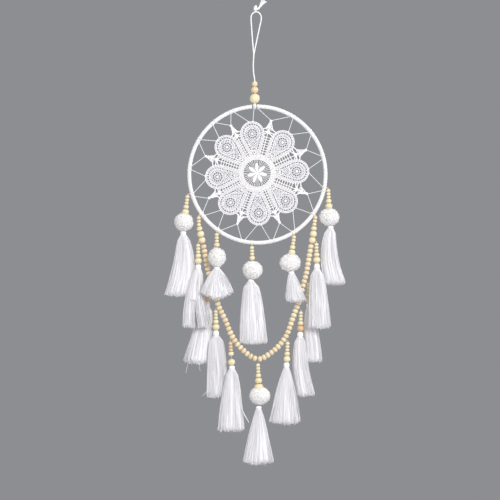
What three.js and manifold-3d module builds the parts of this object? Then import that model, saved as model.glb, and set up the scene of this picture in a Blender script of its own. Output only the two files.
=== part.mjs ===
// Wall-hung dream catcher: a wrapped hoop that holds a crochet doily, a beaded swag below it,
// six pompom drops and eight tassel drops. Millimetres, +Z up, the front faces -Y.
// Places are measured from the hoop's centre; the whole group then moves so that the origin
// is the point where the hanging cord rests on its hook.
import * as THREE from 'three';
import { mergeVertices } from 'three/addons/utils/BufferGeometryUtils.js';
import Module from 'manifold-3d';

const wasm = await Module();
wasm.setup();

// Hoop
const hoopRadius = 97.1; // centre of the ring's section
const coreRadius = 2.0;
const wrapOuter = 2.9;
const clearance = 0.3; // between pieces that touch on the real object
const wrapGap = 2.1; // degrees left unwrapped at each side of the hitch
const hitchX = -3.9;
const hitch = { play: 0.05, wall: 0.95, crown: 0.1, half: 2.2 };
const ringSteps = 48;
const wrapSteps = 54;

// Doily and lacing
const doilyThickness = 1.2;
const doilyMiddle = new THREE.Vector2(-0.6, 2); // the doily sits a little high in the hoop
const petalCentre = 57.3;
const petalRadius = 17.4;
const valleyRadius = 65;
const starRadius = 76.5;
const petalReach = 75; // degrees of the petal's round drawn each side of its middle
const petalStep = 25;
const starFoot = 3.4; // half widths of a star, in degrees round the hoop
const starTip = 0.9;
const hubInner = 19.2;
const flowerRadius = 14.6;
const spokeCount = 8;
const spokeHalf = 3; // degrees
const petalAngles = [96.9, 50.4, 2.5, -44.2, -87.7, -132.2, -174.6, -220.7];
const starAngles = [75, 25.3, -22.4, -65.4, -111.3, -152.6, -198.3, -241.2];
const tieAngles = [
  91.3, 59.3, 38, 14.8, -12.4, -34.3, -57.4, -77.5,
  -102.4, -124.6, -143.8, -162.4, -185.8, -210.2, -229.8, -248.1,
];
const laceThickness = 0.9;
const lacePass = 1.7; // degrees that the thread runs each side of a tie
const mitreLimit = 0.35;

// Hanging cord
const hookPoint = [-1.5, 0, 232];
const cordRadius = 0.95;
const loopFoot = 4.6; // above the middle of the ring's section
const loopBeads = [
  { name: 'loop_bead_large', x: -3.9, z: 108.4, radius: 7, bore: 2.5 },
  { name: 'loop_bead_medium', x: -4.0, z: 120.4, radius: 5, bore: 2.4 },
  { name: 'loop_bead_small', x: -3.9, z: 129.0, radius: 4, bore: 2.4 },
];

// Two strands through the beads, one behind the other, that part on their way up to the hook
const loopRoute = [
  [-3.9, 1.1, hoopRadius + loopFoot], [-3.9, 1.1, 118], [-3.9, 1.1, 134], [-5.5, 1.1, 145], [-6, 1.1, 156],
  [-5, 1.1, 171], [-2.5, 0.7, 184], [0.2, 0.4, 197], [3, 0.1, 210], [5.2, 0, 220.5], [5, 0, 226.5],
  [2, 0, 230.8], hookPoint, [-5.8, 0, 230.6], [-8.7, 0, 226.8], [-9.1, 0, 221], [-8.4, -0.1, 210],
  [-7.5, -0.4, 197], [-6.5, -0.7, 184], [-5.4, -1.1, 171], [-6, -1.1, 156], [-5.5, -1.1, 145],
  [-3.9, -1.1, 134], [-3.9, -1.1, 118], [-3.9, -1.1, hoopRadius + loopFoot],
];
const loopSteps = 76;

// The knot above the hook, its stub and its frayed tail. rise: above the cord at the hook
const knotBall = { radius: 3.4, wide: 1.15, deep: 0.9, rise: 4.75 };
const knotStub = { radius: 1.9, length: 4, x: -1.5, rise: 7.6 };
const knotTail = { root: 1.2, end: 5, length: 15, deep: 0.45, lean: 25, x: 6.2, rise: 10.2 };

// Beads on the drops: radius across the string and half height along it
const smallBead = { radius: 3, half: 2.3 };
const mediumBead = { radius: 4, half: 3.1 };
const largeBead = { radius: 5, half: 4.3 };
const hugeBead = { radius: 6.5, half: 5.2 };
const swagBead = { radius: 4.25, half: 3.3 };
const threadRadius = 0.8;
const threadEnd = 0.5; // bare thread below the lowest bead
const seatRoom = 0.8; // round the bead that presses into a pompom
const beadCrown = 0.35; // share of a bead's half height that is at its full radius
const beadEnd = 0.5; // a bead's radius at its ends, as a share of its full one
const boredSquash = 0.94;
const tasselHead = { neck: 3.6, swell: 0.6, top: 2.4 };
const tasselDepth = 0.9; // how much deeper the hem is than the neck
const tasselLevels = [0.75, 0.5, 0.25];
const flare = 0.75; // how soon a tassel opens below its neck, 1 for evenly
const shortString = [smallBead, smallBead, smallBead, mediumBead];
const longString = [...shortString, largeBead];

// Pompom drops. tie: where the string is knotted, at the depth tieY or else y.
// y: how far forward (-) or back (+) of the hoop's plane the drop hangs.
// first: centre of the top bead. foot: middle of the tassel's hem. spread: half its width there.
const pompomDrops = [
  {
    name: 'left_outer', beads: longString, tie: [-99.2, -28.2], y: 0, first: [-99.6, -31.6],
    pompom: { at: [-104.8, -67.5], rx: 12.9, rz: 12.6 },
    neck: [-105.7, -85], foot: [-112.2, -173.6], spread: 16.5,
  },
  {
    name: 'left_inner', beads: shortString, tie: [-58, -81.6], tieY: -4.4, y: -6.5, first: [-58, -85.6],
    pompom: { at: [-57.6, -118], rx: 11.8, rz: 13.2 },
    neck: [-57.6, -134], foot: [-56.5, -174.8], spread: 16.5,
    tasselY: -10.5,
  },
  {
    name: 'centre', beads: shortString, tie: [-7.9, -100.6], y: 0, first: [-7.9, -104.2],
    pompom: { at: [-7.1, -136], rx: 13.6, rz: 12.6 },
    neck: [-9.2, -152], foot: [-4.6, -241.8], spread: 15.5,
  },
  {
    name: 'right_inner', beads: longString, tie: [52.6, -85.4], tieY: -4.4, y: -6.5, first: [52.4, -89.2],
    pompom: { at: [46.8, -125.4], rx: 13.6, rz: 12.2 },
    neck: [48.2, -140], foot: [52.8, -181.5], spread: 12.5,
    tasselY: -10.5,
  },
  {
    name: 'right_outer', beads: longString, tie: [101, -19.4], y: 0, first: [101, -23],
    pompom: { at: [102.4, -60.5], rx: 13.4, rz: 12 },
    neck: [104.4, -76], foot: [107, -157], spread: 14.5,
  },
  {
    name: 'bottom', beads: [...longString, hugeBead], tie: [0.8, -268.9], y: 0, first: [0.8, -271.6],
    pompom: { at: [2.4, -317], rx: 13, rz: 12.6 },
    neck: [1.8, -333], foot: [1, -412.8], spread: 19.5,
  },
];

// Tassel drops of the swag. gap: bare thread above the lowest bead.
const tasselDrops = [
  {
    name: 'swag_left_1', beads: longString, tie: [-84.4, -96.6], y: -3, first: [-84.4, -101],
    neck: [-84.2, -133.5], foot: [-86.8, -218.6], spread: 15.5,
  },
  {
    name: 'swag_left_2', beads: longString, tie: [-69.5, -150.6], tieY: 5.4, y: 7, first: [-69.5, -154],
    neck: [-72, -188], foot: [-82, -270], spread: 16,
  },
  {
    name: 'swag_left_3', beads: longString, tie: [-59.4, -191], y: 2, first: [-59.4, -195.2],
    neck: [-59, -229.5], foot: [-57, -317.3], spread: 12,
  },
  {
    name: 'swag_left_4', beads: longString, tie: [-38.6, -236.6], y: -4.5, first: [-38.6, -240.5],
    neck: [-36.2, -276.5], foot: [-37, -365.8], spread: 14, gap: 4.5,
  },
  {
    name: 'swag_right_1', beads: longString, tie: [83.8, -95.6], y: -3, first: [83.8, -99.6],
    neck: [84.7, -134.5], foot: [88.2, -219.5], spread: 12.5,
  },
  {
    name: 'swag_right_2', beads: longString, tie: [72.8, -152.6], tieY: 5.4, y: 7, first: [72.8, -156.6],
    neck: [74, -188.5], foot: [80.2, -267.8], spread: 10,
  },
  {
    name: 'swag_right_3', beads: longString, tie: [62, -193.2], y: 2, first: [62, -197.2],
    neck: [61, -231], foot: [68.6, -316], spread: 10.5,
  },
  {
    name: 'swag_right_4', beads: longString, tie: [43, -236.4], y: -4.5, first: [43, -240.4],
    neck: [41.4, -274], foot: [39, -355.4], spread: 18,
  },
];

// Swag strands: the clusters at the top, then the route that the tan beads follow
const clusterBeads = [smallBead, smallBead, smallBead, mediumBead, largeBead, largeBead];
const clusterEnd = 0.4; // bare thread below the lowest bead of a cluster
const leftCluster = [
  [-83.9, -58.6], [-83.6, -61.3], [-83.4, -71.5], [-81, -84], [-78.6, -95.5], [-77.9, -98.6],
];
const rightCluster = [
  [83.1, -58.4], [82.6, -61], [81, -71.8], [79.8, -84], [77.9, -95.2], [77.2, -98.4],
];
const leftRoute = [
  [-77.2, -99.6], [-74.3, -115.6], [-71.9, -129.5], [-68.8, -142.9], [-64.2, -160], [-58.8, -176.1],
  [-55, -188.4], [-49, -200.4], [-43.8, -211.8], [-39, -224.4], [-32.4, -236.4], [-23.6, -246.9],
  [-13.5, -256.2], [-6.6, -260.8], [-0.5, -262.7],
];
const rightRoute = [
  [76.7, -99.4], [74.2, -114.3], [71.9, -127.7], [69.5, -141.2], [65.6, -155.5], [62, -170], [58.6, -182.5],
  [54.2, -193.9], [49.8, -206.2], [45.8, -218.2], [40.6, -230.6], [32.6, -241.8], [22.9, -251.2],
  [13.2, -258.2], [6.6, -261.9], [0.5, -263],
];

const finishes = {
  cottonCord: { color: 0xf4f2ee, roughness: 0.9, metalness: 0 },
  crochet: { color: 0xf6f4f1, roughness: 0.95, metalness: 0 },
  yarn: { color: 0xfbfaf8, roughness: 1, metalness: 0 },
  tasselThread: { color: 0xf7f5f4, roughness: 0.6, metalness: 0 },
  paleWood: { color: 0xeed9b4, roughness: 0.45, metalness: 0 },
  tanWood: { color: 0xdcbd8c, roughness: 0.45, metalness: 0 },
  steel: { color: 0xb8b8ba, roughness: 0.4, metalness: 1 },
};

function mesh(name, geometry, finish) {
  const piece = new THREE.Mesh(geometry, new THREE.MeshStandardMaterial(finishes[finish]));
  piece.name = name;
  return piece;
}

function polar(radius, degrees) {
  const angle = THREE.MathUtils.degToRad(degrees);
  return new THREE.Vector2(radius * Math.cos(angle), radius * Math.sin(angle));
}

// A closed geometry as a solid that can be joined or cut
function solidOf(geometry) {
  const bare = geometry.clone();
  bare.deleteAttribute('normal');
  bare.deleteAttribute('uv');
  const merged = mergeVertices(bare, 1e-4);
  return new wasm.Manifold(new wasm.Mesh({
    numProp: 3,
    vertProperties: new Float32Array(merged.attributes.position.array),
    triVerts: new Uint32Array(merged.index.array),
  }));
}

function geometryOf(solid) {
  const { vertProperties, triVerts } = solid.getMesh();
  const geometry = new THREE.BufferGeometry();
  geometry.setAttribute('position', new THREE.BufferAttribute(vertProperties, 3));
  geometry.setIndex(new THREE.BufferAttribute(triVerts, 1));
  return geometry;
}

// A body turned round its own length: profile is [radius, height] from the bottom to the top
function turned(profile, sides) {
  return new THREE.LatheGeometry(profile.map(([r, h]) => new THREE.Vector2(r, h)), sides);
}

// Half outline of a string of beads from its lower end up, with its thread at both ends.
// gap: bare thread above the lowest bead.
function stringProfile(beads, length, lead, gap = 0) {
  const profile = [[0, 0], [threadRadius, 0]];
  let base = length - lead - stackOf(beads) - gap;
  [...beads].reverse().forEach((bead, i) => {
    profile.push([bead.radius * beadEnd, base]);
    profile.push([bead.radius, base + bead.half * (1 - beadCrown)]);
    profile.push([bead.radius, base + bead.half * (1 + beadCrown)]);
    base += 2 * bead.half;
    if (i === 0 && gap > 0) {
      profile.push([bead.radius * beadEnd, base], [threadRadius, base + threadEnd]);
      profile.push([threadRadius, base + gap - threadEnd]);
      base += gap;
    }
  });
  profile.push([beads[0].radius * beadEnd, length - lead], [threadRadius, length], [0, length]);
  return profile;
}

function stackOf(beads) {
  return beads.reduce((sum, bead) => sum + 2 * bead.half, 0);
}

// Lays a turned body along a curve in the hoop's plane, its bottom at the curve's end
function laidAlong(geometry, curve, length) {
  const place = geometry.attributes.position;
  for (let i = 0; i < place.count; i += 1) {
    const t = THREE.MathUtils.clamp(1 - place.getY(i) / length, 0, 1);
    const middle = curve.getPointAt(t);
    const along = curve.getTangentAt(t);
    const across = place.getX(i);
    place.setXYZ(i, middle.x + along.y * across, place.getZ(i), middle.y - along.x * across);
  }
  return geometry;
}

function planeCurve(points) {
  return new THREE.SplineCurve(points.map(([x, z]) => new THREE.Vector2(x, z)));
}

function hoopParts() {
  const section = [];
  for (let i = 0; i <= 8; i += 1) {
    const point = polar(coreRadius, (i % 8) * 45);
    section.push([hoopRadius + point.x, point.y]);
  }
  const core = mesh('hoop_ring', turned(section, ringSteps), 'steel');

  const tube = new THREE.Shape();
  tube.absarc(0, 0, wrapOuter, 0, Math.PI * 2);
  const bore = new THREE.Path();
  bore.absarc(0, 0, coreRadius + clearance, 0, Math.PI * 2, true);
  tube.holes.push(bore);
  const hitchAngle = 90 - THREE.MathUtils.radToDeg(hitchX / hoopRadius);
  const arc = new THREE.EllipseCurve(
    0, 0, hoopRadius, hoopRadius,
    THREE.MathUtils.degToRad(hitchAngle + wrapGap), THREE.MathUtils.degToRad(hitchAngle + 360 - wrapGap),
  );
  const wrap = new THREE.ExtrudeGeometry(tube, {
    steps: wrapSteps, curveSegments: 4, extrudePath: inHoopPlane(arc),
  });
  return [core, mesh('hoop_wrap', wrap, 'cottonCord')];
}

// A flat curve's x and y taken as the object's x and z
function inHoopPlane(flat) {
  const curve = new THREE.Curve();
  curve.getPoint = (t) => {
    const point = flat.getPoint(t);
    return new THREE.Vector3(point.x, 0, point.y);
  };
  return curve;
}

// Extrudes an outline drawn in x and z by a thickness centred on the hoop's plane
function flatPlate(shape, thickness) {
  const plate = new THREE.ExtrudeGeometry(shape, { depth: thickness, bevelEnabled: false, curveSegments: 4 });
  plate.rotateX(Math.PI / 2);
  plate.translate(0, thickness / 2, 0);
  return plate;
}

function doily() {
  const outline = [];
  petalAngles.forEach((petal, i) => {
    for (let turn = petalReach; turn >= -petalReach; turn -= petalStep) {
      outline.push(polar(petalCentre, petal).add(polar(petalRadius, petal + turn)));
    }
    const star = starAngles[i];
    outline.push(polar(valleyRadius, star + starFoot), polar(starRadius, star + starTip));
    outline.push(polar(starRadius, star - starTip), polar(valleyRadius, star - starFoot));
  });
  const lace = new THREE.Shape(outline);
  const spokeStep = 360 / spokeCount;
  for (let k = 0; k < spokeCount; k += 1) {
    const start = THREE.MathUtils.degToRad(k * spokeStep + spokeHalf);
    const end = THREE.MathUtils.degToRad((k + 1) * spokeStep - spokeHalf);
    const window = new THREE.Path();
    window.absarc(0, 0, hubInner, start, end, false);
    window.absarc(0, 0, flowerRadius, end, start, true);
    lace.holes.push(window);
  }
  const plate = flatPlate(lace, doilyThickness);
  plate.translate(doilyMiddle.x, 0, doilyMiddle.y);
  return mesh('doily', plate, 'crochet');
}

// The lacing's path: out from each doily point to the hoop, a short way along it, and back
function lacing() {
  const innerRadius = hoopRadius - wrapOuter - 3 * clearance - laceThickness / 2;
  const tipRadius = petalCentre + petalRadius + clearance + laceThickness / 2;
  const line = [];
  petalAngles.forEach((petal, i) => {
    const [firstTie, secondTie] = [tieAngles[2 * i], tieAngles[2 * i + 1]];
    line.push(polar(tipRadius, petal + lacePass).add(doilyMiddle));
    line.push(polar(tipRadius, petal - lacePass).add(doilyMiddle));
    line.push(polar(innerRadius, firstTie + lacePass), polar(innerRadius, firstTie - lacePass));
    line.push(polar(starRadius + clearance + laceThickness / 2, starAngles[i]).add(doilyMiddle));
    line.push(polar(innerRadius, secondTie + lacePass), polar(innerRadius, secondTie - lacePass));
  });
  const thread = new THREE.Shape(offsetLine(line, laceThickness / 2));
  thread.holes.push(new THREE.Path(offsetLine(line, -laceThickness / 2).reverse()));
  return mesh('lacing_thread', flatPlate(thread, laceThickness), 'cottonCord');
}

// A closed line of points moved sideways by a distance, with mitred corners
function offsetLine(line, distance) {
  return line.map((point, i) => {
    const before = point.clone().sub(line.at(i - 1)).normalize();
    const after = line[(i + 1) % line.length].clone().sub(point).normalize();
    const sideBefore = new THREE.Vector2(-before.y, before.x);
    const sideAfter = new THREE.Vector2(-after.y, after.x);
    const mitre = sideBefore.clone().add(sideAfter).normalize();
    return point.clone().addScaledVector(mitre, distance / Math.max(mitre.dot(sideBefore), mitreLimit));
  });
}

function hangingLoop() {
  const points = loopRoute.map(([x, y, z]) => new THREE.Vector3(x, y, z));
  const section = new THREE.Shape();
  section.absarc(0, 0, cordRadius, 0, Math.PI * 2);
  const cord = new THREE.ExtrudeGeometry(section, {
    steps: loopSteps, curveSegments: 4, extrudePath: new THREE.CatmullRomCurve3(points, false, 'centripetal'),
  });
  return mesh('hanging_loop', cord, 'cottonCord');
}

// The knot that closes the loop, with its stub and its frayed tail, as one body
function loopKnot() {
  const [x, , z] = hookPoint;
  const ball = new THREE.SphereGeometry(knotBall.radius, 12, 8);
  ball.scale(knotBall.wide, knotBall.deep, 1);
  ball.translate(x, 0, z + knotBall.rise);
  const stub = new THREE.CapsuleGeometry(knotStub.radius, knotStub.length, 3, 8);
  stub.rotateX(Math.PI / 2);
  stub.translate(x + knotStub.x, 0, z + knotStub.rise);
  const tail = new THREE.CylinderGeometry(knotTail.end, knotTail.root, knotTail.length, 10);
  tail.scale(1, 1, knotTail.deep);
  tail.rotateX(Math.PI / 2);
  tail.rotateY(THREE.MathUtils.degToRad(knotTail.lean));
  tail.translate(x + knotTail.x, 0, z + knotTail.rise);
  const knot = solidOf(ball).add(solidOf(stub)).add(solidOf(tail));
  return mesh('loop_knot', geometryOf(knot), 'cottonCord');
}

// The turns of the hanging cord round the bare part of the ring
function hoopHitch() {
  const inner = coreRadius + clearance + hitch.play;
  const outer = inner + hitch.wall;
  const profile = [
    [inner, -hitch.half], [outer, -hitch.half], [outer + hitch.crown, 0], [outer, hitch.half],
    [inner, hitch.half], [inner, -hitch.half],
  ];
  const collar = turned(profile, 12);
  collar.rotateZ(Math.PI / 2);
  collar.translate(hitchX, 0, Math.sqrt(hoopRadius ** 2 - hitchX ** 2));
  return mesh('hoop_hitch', collar, 'cottonCord');
}

function boredBead({ name, x, z, radius, bore }) {
  const profile = [];
  const reach = Math.acos(bore / radius);
  for (let i = 0; i <= 6; i += 1) {
    const angle = -reach + (2 * reach * i) / 6;
    profile.push([radius * Math.cos(angle), radius * Math.sin(angle) * boredSquash]);
  }
  profile.push(profile[0]);
  const bead = turned(profile, 12);
  bead.rotateX(Math.PI / 2);
  bead.translate(x, 0, z);
  return mesh(name, bead, 'paleWood');
}

// A straight string of beads from its tie down to what hangs below it
function beadString(drop, end) {
  const [tieX, tieZ] = drop.tie;
  const lead = tieZ - drop.first[1] - drop.beads[0].half;
  const length = lead + stackOf(drop.beads) + (drop.gap ?? 0) + threadEnd;
  const strand = turned(stringProfile(drop.beads, length, lead, drop.gap), 6);
  strand.translate(0, -length, 0);
  const top = new THREE.Vector3(tieX, drop.tieY ?? drop.y, tieZ);
  const down = new THREE.Vector3(end[0], drop.y, end[1]).sub(top).normalize();
  strand.applyQuaternion(new THREE.Quaternion().setFromUnitVectors(new THREE.Vector3(0, -1, 0), down));
  strand.translate(top.x, top.y, top.z);
  return { name: `${drop.name}_beads`, geometry: strand, foot: top.addScaledVector(down, length) };
}

// A pompom, hollowed a little at its top where the lowest bead presses in
function pompom(drop, strand) {
  const { at, rx, rz } = drop.pompom;
  const ball = new THREE.SphereGeometry(1, 12, 8);
  ball.scale(rx, (rx + rz) / 2, rz);
  ball.translate(at[0], drop.y, at[1]);
  const lowest = drop.beads.at(-1);
  const seat = new THREE.SphereGeometry(1, 10, 8);
  const reach = Math.max(lowest.half, lowest.radius) + seatRoom;
  seat.scale(reach, reach, reach);
  seat.translate(strand.foot.x, strand.foot.y, strand.foot.z + lowest.half + threadEnd);
  return mesh(`${drop.name}_pompom`, geometryOf(solidOf(ball).subtract(solidOf(seat))), 'yarn');
}

// A tassel: a bound neck, round above, that opens into a flat skirt leaning to its foot
function tassel(drop, top) {
  const [neckX, neckZ] = drop.neck;
  const [footX, footZ] = drop.foot;
  const { neck, swell, top: topRadius } = tasselHead;
  const skirt = neckZ - footZ;
  const height = top - footZ;
  const widthAt = (down) => neck + (drop.spread - neck) * down ** flare;
  const profile = [[0, 0], [drop.spread, 0]];
  for (const level of tasselLevels) {
    profile.push([widthAt(level), skirt * (1 - level)]);
  }
  profile.push([neck, skirt], [neck + swell, (skirt + height) / 2], [topRadius, height], [0, height]);
  const body = turned(profile, 10);
  body.rotateX(Math.PI / 2);
  const place = body.attributes.position;
  for (let i = 0; i < place.count; i += 1) {
    const down = THREE.MathUtils.clamp((skirt - place.getZ(i)) / skirt, 0, 1);
    const flatness = (neck + tasselDepth * down) / widthAt(down);
    place.setX(i, place.getX(i) + neckX + (footX - neckX) * down);
    place.setY(i, place.getY(i) * flatness + (drop.tasselY ?? drop.y));
    place.setZ(i, place.getZ(i) + footZ);
  }
  return mesh(`${drop.name}_tassel`, body, 'tasselThread');
}

function pompomDrop(drop) {
  const group = new THREE.Group();
  const strand = beadString(drop, drop.pompom.at);
  group.add(mesh(strand.name, strand.geometry, 'paleWood'), pompom(drop, strand));
  group.add(tassel(drop, drop.pompom.at[1] - drop.pompom.rz - clearance));
  return group;
}

function tasselDrop(drop) {
  const group = new THREE.Group();
  const strand = beadString(drop, drop.neck);
  group.add(mesh(strand.name, strand.geometry, 'paleWood'));
  group.add(tassel(drop, strand.foot.z - clearance));
  return group;
}

function swagStrand(name, points) {
  const curve = planeCurve(points);
  const length = curve.getLength();
  const count = Math.round(length / (2 * swagBead.half));
  const beads = Array(count).fill({ radius: swagBead.radius, half: length / count / 2 });
  const strand = turned(stringProfile(beads, length, 0), 6);
  return mesh(name, laidAlong(strand, curve, length), 'tanWood');
}

function clusterStrand(name, points) {
  const curve = planeCurve(points);
  const length = curve.getLength();
  const strand = turned(stringProfile(clusterBeads, length, length - stackOf(clusterBeads) - clusterEnd), 6);
  return mesh(name, laidAlong(strand, curve, length), 'paleWood');
}

const hanger = new THREE.Group();
hanger.add(hangingLoop(), loopKnot(), hoopHitch(), ...loopBeads.map(boredBead));

const hoop = new THREE.Group();
hoop.add(...hoopParts(), doily(), lacing(), ...pompomDrops.slice(0, 5).map(pompomDrop));

const swag = new THREE.Group();
swag.add(clusterStrand('swag_left_cluster', leftCluster), clusterStrand('swag_right_cluster', rightCluster));
swag.add(swagStrand('swag_left_strand', leftRoute), swagStrand('swag_right_strand', rightRoute));
swag.add(pompomDrop(pompomDrops[5]), ...tasselDrops.map(tasselDrop));

const dreamCatcher = new THREE.Group();
dreamCatcher.add(hanger, hoop, swag);
dreamCatcher.position.set(-hookPoint[0], -hookPoint[1], -hookPoint[2]);

export default dreamCatcher;
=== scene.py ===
import math
import bpy
import numpy as np
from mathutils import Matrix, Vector


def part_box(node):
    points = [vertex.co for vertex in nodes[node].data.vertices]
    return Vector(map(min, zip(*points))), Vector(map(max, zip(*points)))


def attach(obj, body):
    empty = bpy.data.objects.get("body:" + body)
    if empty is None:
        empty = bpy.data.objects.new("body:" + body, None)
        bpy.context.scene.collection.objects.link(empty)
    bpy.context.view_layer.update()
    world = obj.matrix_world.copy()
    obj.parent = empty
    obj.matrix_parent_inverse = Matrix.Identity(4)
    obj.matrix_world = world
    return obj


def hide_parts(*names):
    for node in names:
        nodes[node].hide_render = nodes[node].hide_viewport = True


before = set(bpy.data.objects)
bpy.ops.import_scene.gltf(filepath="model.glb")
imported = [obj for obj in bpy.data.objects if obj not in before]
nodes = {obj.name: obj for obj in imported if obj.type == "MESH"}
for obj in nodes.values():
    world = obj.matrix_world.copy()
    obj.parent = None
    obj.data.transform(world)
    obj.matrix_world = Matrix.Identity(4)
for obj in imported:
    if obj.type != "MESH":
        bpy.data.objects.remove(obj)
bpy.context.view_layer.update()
mm = 0.001
up = np.array([0.0, 0.0, 1.0])


# Small helpers

def addNode(tree, kind, inputs=None, **settings):
    node = tree.nodes.new(kind)
    for key, value in settings.items():
        setattr(node, key, value)
    for key, value in (inputs or {}).items():
        if isinstance(value, bpy.types.NodeSocket):
            tree.links.new(value, node.inputs[key])
        else:
            node.inputs[key].default_value = value
    return node


def hexColour(code):  # sRGB hex to the linear values that sockets want
    parts = [int(code[i:i + 2], 16) / 255 for i in (1, 3, 5)]
    return tuple(c / 12.92 if c <= 0.04045 else ((c + 0.055) / 1.055) ** 2.4 for c in parts) + (1.0,)


def show(name, mesh):
    piece = bpy.data.objects.new(name, mesh)
    bpy.context.scene.collection.objects.link(piece)
    return piece


def nodeBox(name):  # a CAD node's corners in millimetres
    low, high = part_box(name)
    return np.array(low) / mm, np.array(high) / mm


def nodePoints(name):
    mesh = nodes[name].data
    places = np.zeros(len(mesh.vertices) * 3)
    mesh.vertices.foreach_get("co", places)
    return places.reshape(-1, 3) / mm


def endOf(name, side, depth=0.2):  # middle of the points at a node's bottom or top
    places = nodePoints(name)
    if side == "bottom":
        return places[places[:, 2] < places[:, 2].min() + depth].mean(0)
    return places[places[:, 2] > places[:, 2].max() - depth].mean(0)


def smooth(points, step=1.0):  # Catmull-Rom curve through points, evenly spaced
    points = [np.array(p, float) for p in points]
    run = [2 * points[0] - points[1]] + points + [2 * points[-1] - points[-2]]
    fine = []
    for i in range(1, len(run) - 2):
        a, b, c, d = run[i - 1:i + 3]
        knots = [0.0]
        for p, q in ((a, b), (b, c), (c, d)):
            knots.append(knots[-1] + max(np.linalg.norm(q - p), 1e-6) ** 0.5)
        for t in np.linspace(knots[1], knots[2], 12, endpoint=False):
            one = [((knots[k + 1] - t) * p + (t - knots[k]) * q) / (knots[k + 1] - knots[k])
                   for k, (p, q) in enumerate(((a, b), (b, c), (c, d)))]
            two = [((knots[k + 2] - t) * one[k] + (t - knots[k]) * one[k + 1]) / (knots[k + 2] - knots[k])
                   for k in range(2)]
            fine.append(((knots[2] - t) * two[0] + (t - knots[1]) * two[1]) / (knots[2] - knots[1]))
    fine.append(run[-2])
    return spaced(np.array(fine), step)


def travelAlong(points):  # how far along a line each of its points lies
    return np.concatenate([[0], np.cumsum(np.linalg.norm(np.diff(points, axis=0), axis=1))])

def spaced(points, step):  # the same line with points an even distance apart
    lengths = travelAlong(points)
    count = max(2, int(round(lengths[-1] / step)) + 1)
    marks = np.linspace(0, lengths[-1], count)
    return np.stack([np.interp(marks, lengths, points[:, k]) for k in range(3)], axis=1)


def lengthOf(points):
    return float(np.linalg.norm(np.diff(points, axis=0), axis=1).sum())


def sideFrames(points):  # two unit vectors across a line at each of its points
    along = np.gradient(points, axis=0)
    along /= np.linalg.norm(along, axis=1)[:, None]
    start = np.cross(along[0], [0.0, 1.0, 0.0])
    if np.linalg.norm(start) < 0.2:
        start = np.cross(along[0], up)
    sides = [start / np.linalg.norm(start)]
    for direction in along[1:]:
        side = sides[-1] - direction * np.dot(sides[-1], direction)
        sides.append(side / np.linalg.norm(side))
    first = np.array(sides)
    return first, np.cross(along, first)


def strand(points, thick, tone=0.5, closed=False):
    points = np.asarray(points, float)
    return {"points": points, "thick": np.broadcast_to(thick, len(points)), "tone": tone, "closed": closed}


def giveValues(mesh, name, values, kind="FLOAT"):  # one number or vector for each point of a mesh
    field = mesh.attributes.new(name, kind, "POINT").data
    field.foreach_set("vector" if kind == "FLOAT_VECTOR" else "value", np.asarray(values, float).ravel())

def lineMesh(name, strands):  # edges that the spinning tree turns into threads
    places = np.concatenate([s["points"] for s in strands]) * mm
    thick = np.concatenate([s["thick"] for s in strands]) * mm
    tones = np.concatenate([np.full(len(s["points"]), s["tone"]) for s in strands])
    edges = []
    first = 0
    for s in strands:
        count = len(s["points"])
        run = np.arange(first, first + count)
        edges.append(np.stack([run[:-1], run[1:]], axis=1))
        if s["closed"]:
            edges.append(np.array([[run[-1], run[0]]]))
        first += count
    edges = np.concatenate(edges)
    mesh = bpy.data.meshes.new(name)
    mesh.vertices.add(len(places))
    mesh.vertices.foreach_set("co", places.ravel())
    mesh.edges.add(len(edges))
    mesh.edges.foreach_set("vertices", edges.ravel().astype(np.int32))
    giveValues(mesh, "thick", thick)
    giveValues(mesh, "tone", tones)
    mesh.update()
    return mesh


def pointMesh(name, places, vectors, values):  # loose points with attributes for an instancing tree
    mesh = bpy.data.meshes.new(name)
    mesh.vertices.add(len(places))
    mesh.vertices.foreach_set("co", np.asarray(places, float).ravel() * mm)
    for key, data in vectors.items():
        giveValues(mesh, key, data, "FLOAT_VECTOR")
    for key, data in values.items():
        giveValues(mesh, key, data)
    mesh.update()
    return mesh


def grown(name, mesh, tree, inputs):  # runs a tree on a mesh and keeps the result as a plain mesh
    piece = show(name, mesh)
    modifier = piece.modifiers.new("grow", "NODES")
    modifier.node_group = tree
    for item in tree.interface.items_tree:
        if item.in_out == "INPUT" and item.name in inputs:
            modifier[item.identifier] = inputs[item.name]
    graph = bpy.context.evaluated_depsgraph_get()
    graph.update()
    result = bpy.data.meshes.new_from_object(piece.evaluated_get(graph))
    piece.modifiers.remove(modifier)
    piece.data = result
    result.name = name
    bpy.data.meshes.remove(mesh)
    return piece


def spun(name, strands, finish, sides=6):  # threads of one finish, as one piece
    return grown(name, lineMesh(name + "Lines", strands), spinTree, {"Sides": sides, "Finish": finish})

def gridMesh(name, rings, material):  # a closed skin over rings of points, top ring first
    rings = np.asarray(rings, float)
    rows, sides = rings.shape[:2]
    faces = []
    for i in range(rows - 1):
        for j in range(sides):
            k = (j + 1) % sides
            faces.append((i * sides + j, i * sides + k, (i + 1) * sides + k, (i + 1) * sides + j))
    places = [tuple(p) for p in rings.reshape(-1, 3) * mm]
    for row, turn in ((0, -1), (rows - 1, 1)):
        places.append(tuple(rings[row].mean(0) * mm))
        hub = len(places) - 1
        for j in range(sides):
            pair = (row * sides + j, row * sides + (j + 1) % sides)
            faces.append((hub,) + pair[::turn])
    mesh = bpy.data.meshes.new(name)
    mesh.from_pydata(places, [], faces)
    mesh.update()
    volume = sum(f.center.dot(f.normal) * f.area for f in mesh.polygons)
    if volume < 0:
        mesh.flip_normals()
    mesh.shade_smooth()
    mesh.materials.append(material)
    return mesh


# Trees

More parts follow.
